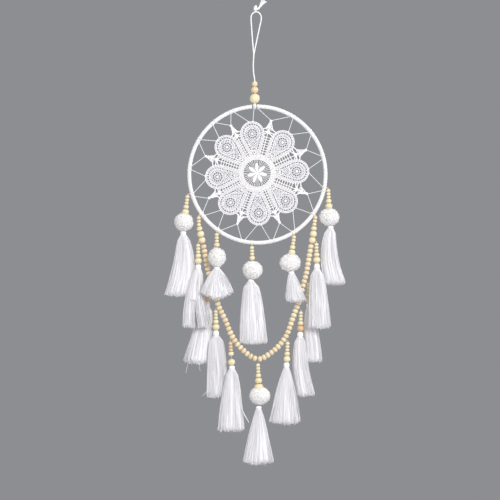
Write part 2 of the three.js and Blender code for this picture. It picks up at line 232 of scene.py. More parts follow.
def newTree(name, sockets):
    tree = bpy.data.node_groups.new(name, "GeometryNodeTree")
    tree.interface.new_socket("Geometry", in_out="INPUT", socket_type="NodeSocketGeometry")
    for label, kind in sockets:
        tree.interface.new_socket(label, in_out="INPUT", socket_type="NodeSocket" + kind)
    tree.interface.new_socket("Geometry", in_out="OUTPUT", socket_type="NodeSocketGeometry")
    return tree, addNode(tree, "NodeGroupInput").outputs


def closeTree(tree, shape, finish):  # every tree ends in real geometry with its finish on it
    real = addNode(tree, "GeometryNodeRealizeInstances", {"Geometry": shape})
    soft = addNode(tree, "GeometryNodeSetShadeSmooth", {"Geometry": real.outputs[0]})
    done = addNode(tree, "GeometryNodeSetMaterial", {"Geometry": soft.outputs[0], "Material": finish})
    addNode(tree, "NodeGroupOutput", {"Geometry": done.outputs[0]})
    return tree


def stored(tree, name, kind="FLOAT"):  # the socket of a named attribute
    return addNode(tree, "GeometryNodeInputNamedAttribute", {"Name": name}, data_type=kind).outputs[0]

def makeSpinTree():  # lines become round threads of their own thickness
    tree, given = newTree("spinThreads", [("Sides", "Int"), ("Finish", "Material")])
    line = addNode(tree, "GeometryNodeMeshToCurve", {"Mesh": given["Geometry"]})
    section = addNode(tree, "GeometryNodeCurvePrimitiveCircle", {"Resolution": given["Sides"], "Radius": 1.0})
    tube = addNode(tree, "GeometryNodeCurveToMesh", {
        "Curve": line.outputs[0], "Profile Curve": section.outputs[0],
        "Scale": stored(tree, "thick"), "Fill Caps": True,
    })
    return closeTree(tree, tube.outputs[0], given["Finish"])


def makeBeadTree():  # a bored bead on each point, its hole along the string
    tree, given = newTree("threadBeads", [("Bead", "Object"), ("Turn Seed", "Int"), ("Finish", "Material")])
    form = addNode(tree, "GeometryNodeObjectInfo", {"Object": given["Bead"]})
    turn = addNode(tree, "FunctionNodeRandomValue", {"Seed": given["Turn Seed"]}, data_type="FLOAT")
    turn.inputs[3].default_value = 2 * math.pi
    spun = addNode(tree, "ShaderNodeCombineXYZ", {"Z": turn.outputs[1]})
    spin = addNode(tree, "FunctionNodeEulerToRotation", {"Euler": spun.outputs[0]})
    face = addNode(tree, "FunctionNodeAlignRotationToVector", {
        "Vector": stored(tree, "aim", "FLOAT_VECTOR"),
    }, axis="Z")
    both = addNode(tree, "FunctionNodeRotateRotation", {
        "Rotation": face.outputs[0], "Rotate By": spin.outputs[0],
    }, rotation_space="LOCAL")
    strung = addNode(tree, "GeometryNodeInstanceOnPoints", {
        "Points": given["Geometry"], "Instance": form.outputs["Geometry"],
        "Rotation": both.outputs[0], "Scale": stored(tree, "size", "FLOAT_VECTOR"),
    })
    return closeTree(tree, strung.outputs[0], given["Finish"])


def makePileTree():  # curled tufts all over a yarn ball
    tree, given = newTree("pompomPile", [
        ("Tuft", "Object"), ("Tufts per Square Metre", "Float"), ("Smallest", "Float"), ("Largest", "Float"),
        ("Lean", "Float"), ("Seed", "Int"), ("Finish", "Material"),
    ])
    form = addNode(tree, "GeometryNodeObjectInfo", {"Object": given["Tuft"]})
    roots = addNode(tree, "GeometryNodeDistributePointsOnFaces", {
        "Mesh": given["Geometry"], "Density": given["Tufts per Square Metre"], "Seed": given["Seed"],
    })
    face = addNode(tree, "FunctionNodeAlignRotationToVector", {"Vector": roots.outputs["Normal"]}, axis="Z")
    least = addNode(tree, "ShaderNodeMath", {0: given["Lean"], 1: -1.0}, operation="MULTIPLY")
    low = addNode(tree, "ShaderNodeCombineXYZ", {"X": least.outputs[0], "Y": least.outputs[0], "Z": -math.pi})
    high = addNode(tree, "ShaderNodeCombineXYZ", {"X": given["Lean"], "Y": given["Lean"], "Z": math.pi})
    tip = addNode(tree, "FunctionNodeRandomValue", {"Seed": given["Seed"]}, data_type="FLOAT_VECTOR")
    tree.links.new(low.outputs[0], tip.inputs[0])
    tree.links.new(high.outputs[0], tip.inputs[1])
    tipped = addNode(tree, "FunctionNodeEulerToRotation", {"Euler": tip.outputs[0]})
    both = addNode(tree, "FunctionNodeRotateRotation", {
        "Rotation": face.outputs[0], "Rotate By": tipped.outputs[0],
    }, rotation_space="LOCAL")
    grow = addNode(tree, "FunctionNodeRandomValue", {"Seed": given["Seed"]}, data_type="FLOAT")
    tree.links.new(given["Smallest"], grow.inputs[2])
    tree.links.new(given["Largest"], grow.inputs[3])
    tufts = addNode(tree, "GeometryNodeInstanceOnPoints", {
        "Points": roots.outputs["Points"], "Instance": form.outputs["Geometry"],
        "Rotation": both.outputs[0], "Scale": grow.outputs[1],
    })
    ball = addNode(tree, "GeometryNodeJoinGeometry", {"Geometry": given["Geometry"]})
    tree.links.new(tufts.outputs[0], ball.inputs[0])
    return closeTree(tree, ball.outputs[0], given["Finish"])


def makeStitchTree():  # one crochet stitch after another along each row, facing the front
    tree, given = newTree("crochetRows", [
        ("Stitch", "Object"), ("Stitch Length", "Float"), ("Finish", "Material"),
    ])
    form = addNode(tree, "GeometryNodeObjectInfo", {"Object": given["Stitch"]})
    row = addNode(tree, "GeometryNodeMeshToCurve", {"Mesh": given["Geometry"]})
    places = addNode(tree, "GeometryNodeCurveToPoints", {
        "Curve": row.outputs[0], "Length": given["Stitch Length"],
    }, mode="LENGTH")
    face = addNode(tree, "FunctionNodeAxesToRotation", {
        "Primary Axis": places.outputs["Tangent"], "Secondary Axis": (0.0, -1.0, 0.0),
    }, primary_axis="Z", secondary_axis="Y")
    worked = addNode(tree, "GeometryNodeInstanceOnPoints", {
        "Points": places.outputs["Points"], "Instance": form.outputs["Geometry"],
        "Rotation": face.outputs[0], "Scale": stored(tree, "thick"),
    })
    return closeTree(tree, worked.outputs[0], given["Finish"])


def makeWindTree():  # one long flat cord wound round a ring
    tree, given = newTree("woundRing", [
        ("Points", "Int"), ("Ring Radius", "Float"), ("Coil Radius", "Float"), ("Turns", "Float"),
        ("Start", "Float"), ("Sweep", "Float"), ("Centre", "Vector"), ("Cord Width", "Float"),
        ("Cord Thickness", "Float"), ("Finish", "Material"),
    ])

    def sums(operation, first, second=0.0):
        return addNode(tree, "ShaderNodeMath", {0: first, 1: second}, operation=operation).outputs[0]

    def scaled(vector, factor):
        longer = addNode(tree, "ShaderNodeVectorMath", {0: vector, "Scale": factor}, operation="SCALE")
        return longer.outputs[0]

    def added(first, second):
        return addNode(tree, "ShaderNodeVectorMath", {0: first, 1: second}, operation="ADD").outputs[0]

    line = addNode(tree, "GeometryNodeMeshLine", {"Count": given["Points"]})
    index = addNode(tree, "GeometryNodeInputIndex").outputs[0]
    share = sums("DIVIDE", index, sums("SUBTRACT", given["Points"], 1.0))
    roundHoop = sums("ADD", sums("MULTIPLY", share, given["Sweep"]), given["Start"])
    roundSection = sums("MULTIPLY", sums("MULTIPLY", share, given["Turns"]), 2 * math.pi)
    outward = addNode(tree, "ShaderNodeCombineXYZ", {
        "X": sums("COSINE", roundHoop), "Z": sums("SINE", roundHoop),
    }).outputs[0]
    side = addNode(tree, "ShaderNodeCombineXYZ", {"Y": sums("SINE", roundSection)}).outputs[0]
    normal = added(scaled(outward, sums("COSINE", roundSection)), side)
    spot = added(scaled(outward, given["Ring Radius"]), scaled(normal, given["Coil Radius"]))
    moved = added(spot, given["Centre"])
    kept = addNode(tree, "GeometryNodeStoreNamedAttribute", {
        "Geometry": line.outputs[0], "Name": "outward", "Value": normal,
    }, data_type="FLOAT_VECTOR", domain="POINT")
    laid = addNode(tree, "GeometryNodeSetPosition", {"Geometry": kept.outputs[0], "Position": moved})
    coil = addNode(tree, "GeometryNodeMeshToCurve", {"Mesh": laid.outputs[0]})
    flat = addNode(tree, "GeometryNodeSetCurveNormal", {
        "Curve": coil.outputs[0], "Normal": stored(tree, "outward", "FLOAT_VECTOR"),
    }, mode="FREE")
    section = addNode(tree, "GeometryNodeCurvePrimitiveCircle", {"Resolution": 8, "Radius": 0.5})
    shape = addNode(tree, "ShaderNodeCombineXYZ", {
        "X": given["Cord Thickness"], "Y": given["Cord Width"], "Z": 1.0,
    })
    squeezed = addNode(tree, "GeometryNodeTransform", {
        "Geometry": section.outputs[0], "Scale": shape.outputs[0],
    })
    tube = addNode(tree, "GeometryNodeCurveToMesh", {
        "Curve": flat.outputs[0], "Profile Curve": squeezed.outputs[0], "Fill Caps": True,
    })
    return closeTree(tree, tube.outputs[0], given["Finish"])


# Finishes

def newFinish(name):
    finish = bpy.data.materials.new(name)
    finish.use_nodes = True
    tree = finish.node_tree
    return finish, tree, tree.nodes["Principled BSDF"]


def twoTones(tree, factor, first, second):  # a blend of two colours, each a hex code or a socket
    mix = addNode(tree, "ShaderNodeMix", {"Factor": factor}, data_type="RGBA")
    for index, colour in ((6, first), (7, second)):
        if isinstance(colour, str):
            mix.inputs[index].default_value = hexColour(colour)
        else:
            tree.links.new(colour, mix.inputs[index])
    return mix.outputs[2]

def reliefOf(tree, height, strength, depth):  # depth in metres
    bump = addNode(tree, "ShaderNodeBump", {"Height": height, "Strength": strength, "Distance": depth})
    return bump.outputs[0]

def dress(tree, shader, colour, relief, values):  # colour and relief joined, the other sockets set
    tree.links.new(colour, shader.inputs["Base Color"])
    if relief is not None:
        tree.links.new(relief, shader.inputs["Normal"])
    for key, value in values.items():
        shader.inputs[key].default_value = value

def makeCotton(name, light, shade, fibre, rough=0.9, sheen=0.25):
    # spun cotton: matt and bright, a faint tone drift along the yarn that each piece's tone scales (on the
    # pompom pile that tone is painted shade), fine fibres that catch light at the edges
    finish, tree, shader = newFinish(name)
    place = addNode(tree, "ShaderNodeTexCoord").outputs["Object"]
    drift = addNode(tree, "ShaderNodeTexNoise", {"Vector": place, "Scale": 140.0, "Detail": 3.0})
    tone = addNode(tree, "ShaderNodeAttribute", attribute_name="tone")
    blend = addNode(tree, "ShaderNodeMath", {
        0: drift.outputs["Fac"], 1: tone.outputs["Fac"],
    }, operation="MULTIPLY")
    colour = twoTones(tree, blend.outputs[0], light, shade)
    fuzz = addNode(tree, "ShaderNodeTexNoise", {"Vector": place, "Scale": 1 / (fibre * mm), "Detail": 2.0})
    dress(tree, shader, colour, reliefOf(tree, fuzz.outputs["Fac"], 0.35, 0.0002), {
        "Roughness": rough, "Sheen Weight": sheen, "Sheen Roughness": 0.6, "Specular IOR Level": 0.25,
    })
    return finish


def makeViscose():
    # viscose embroidery thread: smooth filaments, a soft silky lustre, each strand a little lighter or
    # greyer; the same grey, set on the tassel's heart, is painted shade
    finish, tree, shader = newFinish("viscoseTasselThread")
    place = addNode(tree, "ShaderNodeTexCoord").outputs["Object"]
    tone = addNode(tree, "ShaderNodeAttribute", attribute_name="tone")
    colour = twoTones(tree, tone.outputs["Fac"], "#fefdfe", "#e6e4e7")
    along = addNode(tree, "ShaderNodeMapping", {"Vector": place, "Scale": (1.0, 1.0, 0.04)})
    fibres = addNode(tree, "ShaderNodeTexNoise", {"Vector": along.outputs[0], "Scale": 2500.0, "Detail": 1.0})
    dress(tree, shader, colour, reliefOf(tree, fibres.outputs["Fac"], 0.3, 0.0002), {
        "Roughness": 0.5, "Sheen Weight": 0.15, "Sheen Roughness": 0.4, "Specular IOR Level": 0.4,
    })
    return finish


def makeWood(name, light, dark, warm):
    # turned beech or schima wood under a thin varnish: fine grain along the bead, each bead its own tone
    finish, tree, shader = newFinish(name)
    inBead = addNode(tree, "ShaderNodeAttribute", attribute_name="local").outputs["Vector"]
    shift = addNode(tree, "ShaderNodeAttribute", attribute_name="shift").outputs["Vector"]
    tone = addNode(tree, "ShaderNodeAttribute", attribute_name="tone").outputs["Fac"]
    place = addNode(tree, "ShaderNodeVectorMath", {0: inBead, 1: shift}, operation="ADD").outputs[0]
    stretched = addNode(tree, "ShaderNodeMapping", {"Vector": place, "Scale": (7.0, 7.0, 1.3)}).outputs[0]
    grain = addNode(tree, "ShaderNodeTexNoise", {
        "Vector": stretched, "Scale": 1.0, "Detail": 4.0, "Distortion": 0.6,
    })
    rings = addNode(tree, "ShaderNodeTexWave", {
        "Vector": place, "Scale": 1.6, "Distortion": 5.0, "Detail": 2.0, "Detail Scale": 1.5,
    }, wave_type="RINGS", rings_direction="X")
    figure = addNode(tree, "ShaderNodeMix", {
        "Factor": 0.45, "A": grain.outputs["Fac"], "B": rings.outputs["Fac"],
    }, data_type="FLOAT").outputs[0]
    colour = twoTones(tree, tone, twoTones(tree, figure, light, dark), warm)
    dress(tree, shader, colour, reliefOf(tree, figure, 0.12, 0.0003), {
        "Roughness": 0.42, "IOR": 1.5, "Coat Weight": 0.25, "Coat Roughness": 0.25,
    })
    return finish


def makeSteel():
    # drawn steel rod, brushed round the ring: grey, streaked along its length, dull shine
    finish, tree, shader = newFinish("brushedSteelRod")
    place = addNode(tree, "ShaderNodeTexCoord").outputs["Object"]
    streaks = addNode(tree, "ShaderNodeTexNoise", {"Vector": place, "Scale": 900.0, "Detail": 4.0})
    colour = twoTones(tree, streaks.outputs["Fac"], "#c4c4c6", "#8f9092")
    dress(tree, shader, colour, None, {"Metallic": 1.0, "Roughness": 0.38})
    return finish


spinTree = makeSpinTree()
beadTree = makeBeadTree()
pileTree = makePileTree()
stitchTree = makeStitchTree()
windTree = makeWindTree()
cordCotton = makeCotton("twistedCottonCord", "#fbfaf8", "#e3dedd", 0.25)
wrapCotton = makeCotton("woundCottonYarn", "#fdfcfb", "#e6e1e1", 0.3)
laceCotton = makeCotton("crochetedCottonLace", "#fcfbfa", "#e4dfe2", 0.22)
# painted shade: a darker copy of the lace cotton for the inner net, standing in for shade among the petals
shadedNetCotton = makeCotton("crochetedCottonNetPaintedShade", "#f5f4f6", "#d9d7de", 0.22)
beadCotton = makeCotton("waxedCottonString", "#dccda8", "#c9b78e", 0.2, rough=0.6, sheen=0.1)
stringCotton = makeCotton("polishedCottonString", "#faf8f6", "#ddd7d3", 0.2, rough=0.75)
pompomYarn = makeCotton("boucleAcrylicYarn", "#fefdfc", "#ece7e6", 0.4, sheen=0.4)
tasselViscose = makeViscose()
paleWood = makeWood("varnishedPaleBeech", "#f5edca", "#e8d8a9", "#dbab7b")
tanWood = makeWood("varnishedTanBeech", "#f4e8c8", "#e9d5aa", "#d9b285")
steelRod = makeSteel()
print("finishes and trees ready")


# Camera and lights

view = {
    "middle": (-0.0091, -0.3394), "width": 0.7125, "distance": 2.7, "sensor": 36.0,
}
camera = bpy.data.objects.new("camera", bpy.data.cameras.new("camera"))
bpy.context.scene.collection.objects.link(camera)
camera.data.sensor_width = view["sensor"]
camera.data.lens = view["sensor"] * view["distance"] / view["width"]
camera.location = (view["middle"][0], -view["distance"], view["middle"][1])
camera.rotation_euler = (math.radians(90), 0, 0)
bpy.context.scene.camera = camera
bpy.context.scene.view_settings.view_transform = "Standard"


def areaLight(name, place, aim, width, power):
    light = bpy.data.objects.new(name, bpy.data.lights.new(name, "AREA"))
    bpy.context.scene.collection.objects.link(light)
    light.data.size = width
    light.data.energy = power
    light.location = place
    light.rotation_euler = (Vector(aim) - Vector(place)).to_track_quat("-Z", "Y").to_euler()


objectMiddle = (0.0, 0.0, -0.33)
areaLight("keyLight", (1.3, -1.9, 0.9), objectMiddle, 1.0, 48)
areaLight("fillLight", (-1.6, -1.6, 0.2), objectMiddle, 1.6, 9)
areaLight("backLight", (0.6, 2.0, 0.8), objectMiddle, 1.4, 16)

world = bpy.data.worlds.new("studio")
bpy.context.scene.world = world
world.use_nodes = True
worldTree = world.node_tree
seen = addNode(worldTree, "ShaderNodeLightPath").outputs["Is Camera Ray"]
wallTone = addNode(worldTree, "ShaderNodeBackground", {"Color": hexColour("#8d8e92"), "Strength": 1.0})
skyTone = addNode(worldTree, "ShaderNodeBackground", {"Color": hexColour("#f4f4f8"), "Strength": 0.6})
mixed = addNode(worldTree, "ShaderNodeMixShader", {0: seen, 1: skyTone.outputs[0], 2: wallTone.outputs[0]})
worldTree.links.new(mixed.outputs[0], worldTree.nodes["World Output"].inputs[0])

floorSize = {"z": -1.05, "radius": 1.7, "sides": 96}
floorMesh = bpy.data.meshes.new("floor")
floorRound = [
    (floorSize["radius"] * math.cos(a), floorSize["radius"] * math.sin(a), floorSize["z"])
    for a in np.linspace(0, 2 * math.pi, floorSize["sides"], endpoint=False)
]
floorMesh.from_pydata(floorRound, [], [tuple(range(floorSize["sides"]))])
floorFinish, floorTree, floorShader = newFinish("palePlasterFloor")
floorNoise = addNode(floorTree, "ShaderNodeTexNoise", {"Scale": 30.0})
floorTone = twoTones(floorTree, floorNoise.outputs["Fac"], "#dcdcdc", "#d4d4d5")
dress(floorTree, floorShader, floorTone, None, {})
floorMesh.materials.append(floorFinish)
show("floor", floorMesh)
print("camera, lights and floor ready")


# Places that several pieces share

ringLow, ringHigh = nodeBox("hoop_ring")
coreRadius = (ringHigh[1] - ringLow[1]) / 2
hoopRadius = (ringHigh[0] - ringLow[0]) / 2 - coreRadius
hoopMiddle = (ringLow + ringHigh) / 2
wrapLow, wrapHigh = nodeBox("hoop_wrap")
wrapRadius = (wrapHigh[1] - wrapLow[1]) / 2


def atHoop(x, z, y=0.0):  # a place measured from the hoop's middle
    return np.array([hoopMiddle[0] + x, hoopMiddle[1] + y, hoopMiddle[2] + z])


def polar(radius, degrees, y=0.0):
    angle = math.radians(degrees)
    return atHoop(radius * math.cos(angle), radius * math.sin(angle), y)


def loopRound(centre, outward, radius, thick, tone=0.4, turns=1.0, drift=0.0):  # round the hoop's section
    outward = np.array([outward[0], 0.0, outward[2]])
    outward /= np.linalg.norm(outward)
    along = np.cross(outward, [0.0, 1.0, 0.0])
    steps = int(16 * turns)
    angles = np.linspace(0, 2 * math.pi * turns, steps + (turns != 1.0), endpoint=turns != 1.0)
    points = [
        centre + radius * (math.cos(a) * outward + math.sin(a) * np.array([0, 1.0, 0]))
        + along * drift * (a / (2 * math.pi * turns) - 0.5)
        for a in angles
    ]
    return strand(points, thick, tone, closed=turns == 1.0)


def pipSkin(centre, radii, seed, rows=7, sides=10, rough=0.12):  # a small tied knot of thread
    dice = np.random.default_rng(seed)
    rings = []
    for i in range(rows):
        high = math.cos(math.pi * (i + 0.5) / rows)
        wide = math.sin(math.pi * (i + 0.5) / rows)
        ring = []
        for j in range(sides):
            a = 2 * math.pi * j / sides
            swell = 1 + rough * (dice.random() - 0.5) * 2
            ring.append(centre + np.array([
                radii[0] * wide * math.cos(a), radii[1] * wide * math.sin(a), radii[2] * high]) * swell)
        rings.append(ring)
    return rings


def joinSkins(name, skins, material):  # several closed skins as one mesh
    places, faces = [], []
    for rings in skins:
        part = gridMesh(name + "Part", rings, material)
        first = len(places)
        places += [tuple(v.co) for v in part.vertices]
        faces += [tuple(first + k for k in f.vertices) for f in part.polygons]
        bpy.data.meshes.remove(part)
    mesh = bpy.data.meshes.new(name)
    mesh.from_pydata(places, [], faces)
    mesh.shade_smooth()
    mesh.materials.append(material)
    return mesh


# Hanging cord, its knot and its hitch

cordSize = {
    "diameter": 1.9, "plies": 3, "ply": 0.64, "layRadius": 0.33, "lay": 6.6, "step": 0.6,
}
loopRoute = [
    (-3.9, 1.1, 101.7), (-3.9, 1.1, 118), (-3.9, 1.1, 134), (-5.5, 1.1, 145), (-6, 1.1, 156),
    (-5, 1.1, 171), (-2.5, 0.7, 184), (0.2, 0.4, 197), (3, 0.1, 210), (5.2, 0, 220.5), (5, 0, 226.5),
    (2, 0, 230.8), (-1.5, 0, 232), (-5.8, 0, 230.6), (-8.7, 0, 226.8), (-9.1, 0, 221), (-8.4, -0.1, 210),
    (-7.5, -0.4, 197), (-6.5, -0.7, 184), (-5.4, -1.1, 171), (-6, -1.1, 156), (-5.5, -1.1, 145),
    (-3.9, -1.1, 134), (-3.9, -1.1, 118), (-3.9, -1.1, 101.7),
]


def twisted(points, size):  # plies laid round a line
    first, second = sideFrames(points)
    travel = travelAlong(points)
    plies = []
    for k in range(size["plies"]):
        angle = 2 * math.pi * (travel / size["lay"] + k / size["plies"])
        ply = points + size["layRadius"] * (np.cos(angle)[:, None] * first + np.sin(angle)[:, None] * second)
        plies.append(strand(ply, size["ply"], 0.5 + 0.15 * (k - 1)))
    return plies


loopLine = smooth([atHoop(x, z, y) for x, y, z in loopRoute], step=cordSize["step"])
loopCord = spun("hangingCord", twisted(loopLine, cordSize), cordCotton, 7)
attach(loopCord, "hanger")
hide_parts("hanging_loop")

knotSize = {"turns": 4.2, "radius": 1.95, "x": -1.35, "low": 2.1, "high": 8.6, "slant": 0.35}


def barrelKnot(size):  # the two ends wound round themselves, tapering at the top
    points = []
    for share in np.linspace(0, 1, 90):
        angle = 2 * math.pi * size["turns"] * share + 0.6
        radius = size["radius"] * (1 - 0.55 * share ** 5)
        x = size["x"] + radius * math.cos(angle)
        height = size["low"] + (size["high"] - size["low"]) * share + size["slant"] * math.cos(angle)
        points.append(np.array([x, radius * math.sin(angle), height]))
    return spaced(np.array(points), 0.5)


barrel = barrelKnot(knotSize)
knotRoot = np.array([knotSize["x"], 0.0, 0.8])
bar = smooth([
    knotRoot, knotRoot + np.array([0.3, 0, 3]), np.array([knotSize["x"], 0, knotSize["high"]]),
], step=0.5)
tailLine = smooth([
    np.array([knotSize["x"] + 1.2, -0.4, 3.4]), np.array([2.7, -0.7, 4.3]), np.array([4.6, -0.5, 6.6]),
    np.array([6.2, -0.3, 9.0]),
], step=0.5)
tailSize = dict(cordSize, ply=1.0, layRadius=0.5)  # its plies have opened
knotStrands = twisted(barrel, cordSize) + twisted(bar, cordSize) + twisted(tailLine, tailSize)
frayDice = np.random.default_rng(11)
fray = {
    "threads": 120, "length": 9.5, "end": 5.0, "deep": 1.9, "lean": 33, "thick": 0.24, "wave": 0.5,
    "root": 1.3, "pinch": 0.8,
}
frayAim = np.array([math.sin(math.radians(fray["lean"])), 0.0, math.cos(math.radians(fray["lean"]))])
frayAcross = np.array([frayAim[2], 0.0, -frayAim[0]])
for k in range(fray["threads"]):
    across, deep, curl = frayDice.uniform(-1, 1, 3)
    length = fray["length"] * frayDice.uniform(0.5, 1.0)
    root = tailLine[-5] + frayAcross * across * fray["root"] + np.array([0, deep * 0.6, 0])
    tip = tailLine[-1] + frayAim * length + frayAcross * across * fray["end"] * length / fray["length"]
    tip[1] += deep * fray["deep"]
    bend = (root + tip) / 2 + frayAcross * curl * fray["wave"] - frayAcross * across * fray["pinch"]
    knotStrands.append(strand(smooth([root, bend, tip], step=1.6), fray["thick"], frayDice.random() * 0.5))
loopKnot = spun("loopKnot", knotStrands, cordCotton)
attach(loopKnot, "hanger")
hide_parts("loop_knot")

hitchLow, hitchHigh = nodeBox("hoop_hitch")
hitchMiddle = (hitchLow + hitchHigh) / 2
hitchOut = hitchMiddle - hoopMiddle
hitchSize = {"play": 0.25, "apart": 1.05, "bridgeHalf": 1.6}
hitchRadius = coreRadius + cordSize["diameter"] / 2 + hitchSize["play"]
hitchStrands = []
for side, legEnd in ((1, loopLine[0]), (-1, loopLine[-1])):
    offset = -side * hitchSize["apart"]
    ringPoint = hitchMiddle + np.array([offset, 0, 0])
    turn = loopRound(ringPoint, hitchOut, hitchRadius, 1.0)["points"]
    rise = [turn[side * 4 % 16], turn[side * 2 % 16], legEnd - np.array([offset * -0.4, 0, 1.3]), legEnd]
    around = smooth(list(turn) + [turn[0], turn[1]], step=0.5)
    hitchStrands += twisted(around, cordSize) + twisted(smooth(rise, step=0.5), cordSize)
bridgeEnd = np.array([hitchSize["bridgeHalf"], -hitchRadius * 0.9, -0.6])
bridge = smooth([
    hitchMiddle + bridgeEnd * [-1, 1, 1], hitchMiddle + np.array([0, -hitchRadius * 1.12, -0.2]),
    hitchMiddle + bridgeEnd,
], step=0.5)
hitchStrands += twisted(bridge, cordSize)
hoopHitch = spun("hoopHitch", hitchStrands, cordCotton)
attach(hoopHitch, "hanger")
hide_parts("hoop_hitch")

print("hanging cord", round(lengthOf(loopLine)), "mm")


# Hoop wrapping

wrapSize = {"pitch": 2.05, "width": 1.85, "thick": 1.1, "pointsPerTurn": 12, "gap": 2.1}
hitchAngle = math.atan2(hitchOut[2], hitchOut[0])
sweep = math.radians(360 - 2 * wrapSize["gap"])
turns = round(sweep * hoopRadius / wrapSize["pitch"])
hoopWrap = grown("hoopWrapping", bpy.data.meshes.new("wrapSeed"), windTree, {
    "Points": turns * wrapSize["pointsPerTurn"], "Ring Radius": hoopRadius * mm,
    "Coil Radius": (wrapRadius - wrapSize["thick"] / 2) * mm, "Turns": float(turns),
    "Start": hitchAngle + math.radians(wrapSize["gap"]), "Sweep": sweep, "Centre": tuple(hoopMiddle * mm),
    "Cord Width": wrapSize["width"] * mm, "Cord Thickness": wrapSize["thick"] * mm, "Finish": wrapCotton,
})
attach(hoopWrap, "hoop")
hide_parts("hoop_wrap")
nodes["hoop_ring"].data.materials.clear()
nodes["hoop_ring"].data.materials.append(steelRod)
print("hoop wrapped in", turns, "turns")


# Doily

lace = {
    "middle": (-0.6, 2.0), "petalCentre": 57.3, "petalRadius": 17.4, "sideSlope": 21.8, "root": 25.5,
    "hubInner": 19.2, "hubRows": (20.2, 21.9, 23.6, 25.3), "stitch": 1.75, "starRadius": 76.8, "spokes": 42,
    "flowerPetals": 7, "ladderStep": 3.75, "besidePetal": 0.7, "netStep": 3.1, "outlineInsets": (1.0, 2.8),
    "slitInsets": (3.6, 6.0), "slitBars": 31, "arc": 10.9, "arcInset": 5.9, "stitchesForward": -0.6,
}
laceThick = {  # radius of the thread in each kind of line
    "outline": 1.16, "hub": 1.1, "backing": 0.8, "hubBacking": 0.82, "slit": 0.5, "ring": 0.55, "spoke": 0.42,
    "arc": 0.8, "ladder": 0.6, "ladderMiddle": 0.66, "spine": 0.95, "starBar": 0.55, "ray": 0.9,
}
petalAngles = [96.9, 50.4, 2.5, -44.2, -87.7, -132.2, -174.6, -220.7]
starAngles = [75, 25.3, -22.4, -65.4, -111.3, -152.6, -198.3, -241.2]
sideSlope = math.radians(lace["sideSlope"])


def onLace(radius, degrees, y=0.0):  # a place on the doily, by distance and angle from its own middle
    return inPetal(degrees, radius, 0.0, y)


def inPetal(angle, u, v, y=0.0):  # u out along the petal, v to its left
    a = math.radians(angle)
    x = lace["middle"][0] + u * math.cos(a) - v * math.sin(a)
    return atHoop(x, lace["middle"][1] + u * math.sin(a) + v * math.cos(a), y)


def petalHalf(u, inset=0.0):  # half a petal's width at a distance out from the hub
    radius = lace["petalRadius"] - inset
    if u > lace["petalCentre"] - radius * math.sin(sideSlope):
        return math.sqrt(max(radius ** 2 - (u - lace["petalCentre"]) ** 2, 0))
    return radius / math.cos(sideSlope) - (lace["petalCentre"] - u) * math.tan(sideSlope)


def petalRow(angle, inset, y=0.0):  # up one side, round the end and down the other
    radius = lace["petalRadius"] - inset
    reach = 90 + lace["sideSlope"]
    left = [(u, petalHalf(u, inset)) for u in (lace["root"], 34, 43)]
    end = [(lace["petalCentre"] + radius * math.cos(a), radius * math.sin(a))
           for a in np.radians(np.linspace(reach, -reach, 15))]
    right = [(u, -v) for u, v in left[::-1]]
    return smooth([inPetal(angle, u, v, y) for u, v in left + end + right], step=1.0)


def makeStitch():  # a V of two plump loops of thread, drawn one unit wide
    skins = []
    for side in (-1, 1):
        rings = []
        for i in range(4):
            t = (i + 0.5) / 4
            swell = math.sin(math.pi * t) ** 0.6
            middle = np.array([side * (0.12 + 0.36 * t), 0.08 * math.sin(math.pi * t), 0.62 * (t - 0.5) * 2])
            rings.append([
                middle + np.array([0.3 * swell * math.cos(a), 0.34 * swell * math.sin(a), 0])
                for a in np.linspace(0, 2 * math.pi, 5, endpoint=False)
            ])
        skins.append(np.array(rings) / mm)
    return show("stitchForm", joinSkins("stitchForm", skins, laceCotton))


def laceRing(centre, radius, count=40, y=0.0):
    return np.array([
        centre + np.array([radius * math.cos(a), y, radius * math.sin(a)])
        for a in np.linspace(0, 2 * math.pi, count + 1)
    ])


def leafSkin(angle, root, tip, half):  # a solid crochet petal of the flower in the hub
    rings = []
    for t in np.linspace(0.04, 0.97, 8):
        wide = half * math.sin(math.pi * t) ** 0.55 * (0.7 + 0.45 * t)
        ring = []
        for a in np.linspace(0, 2 * math.pi, 10, endpoint=False):
            across, lift = wide * math.cos(a), -0.2 + 0.75 * math.sin(a)
            ring.append(inPetal(angle, root + (tip - root) * t, across, lift))
        rings.append(ring)
    return rings


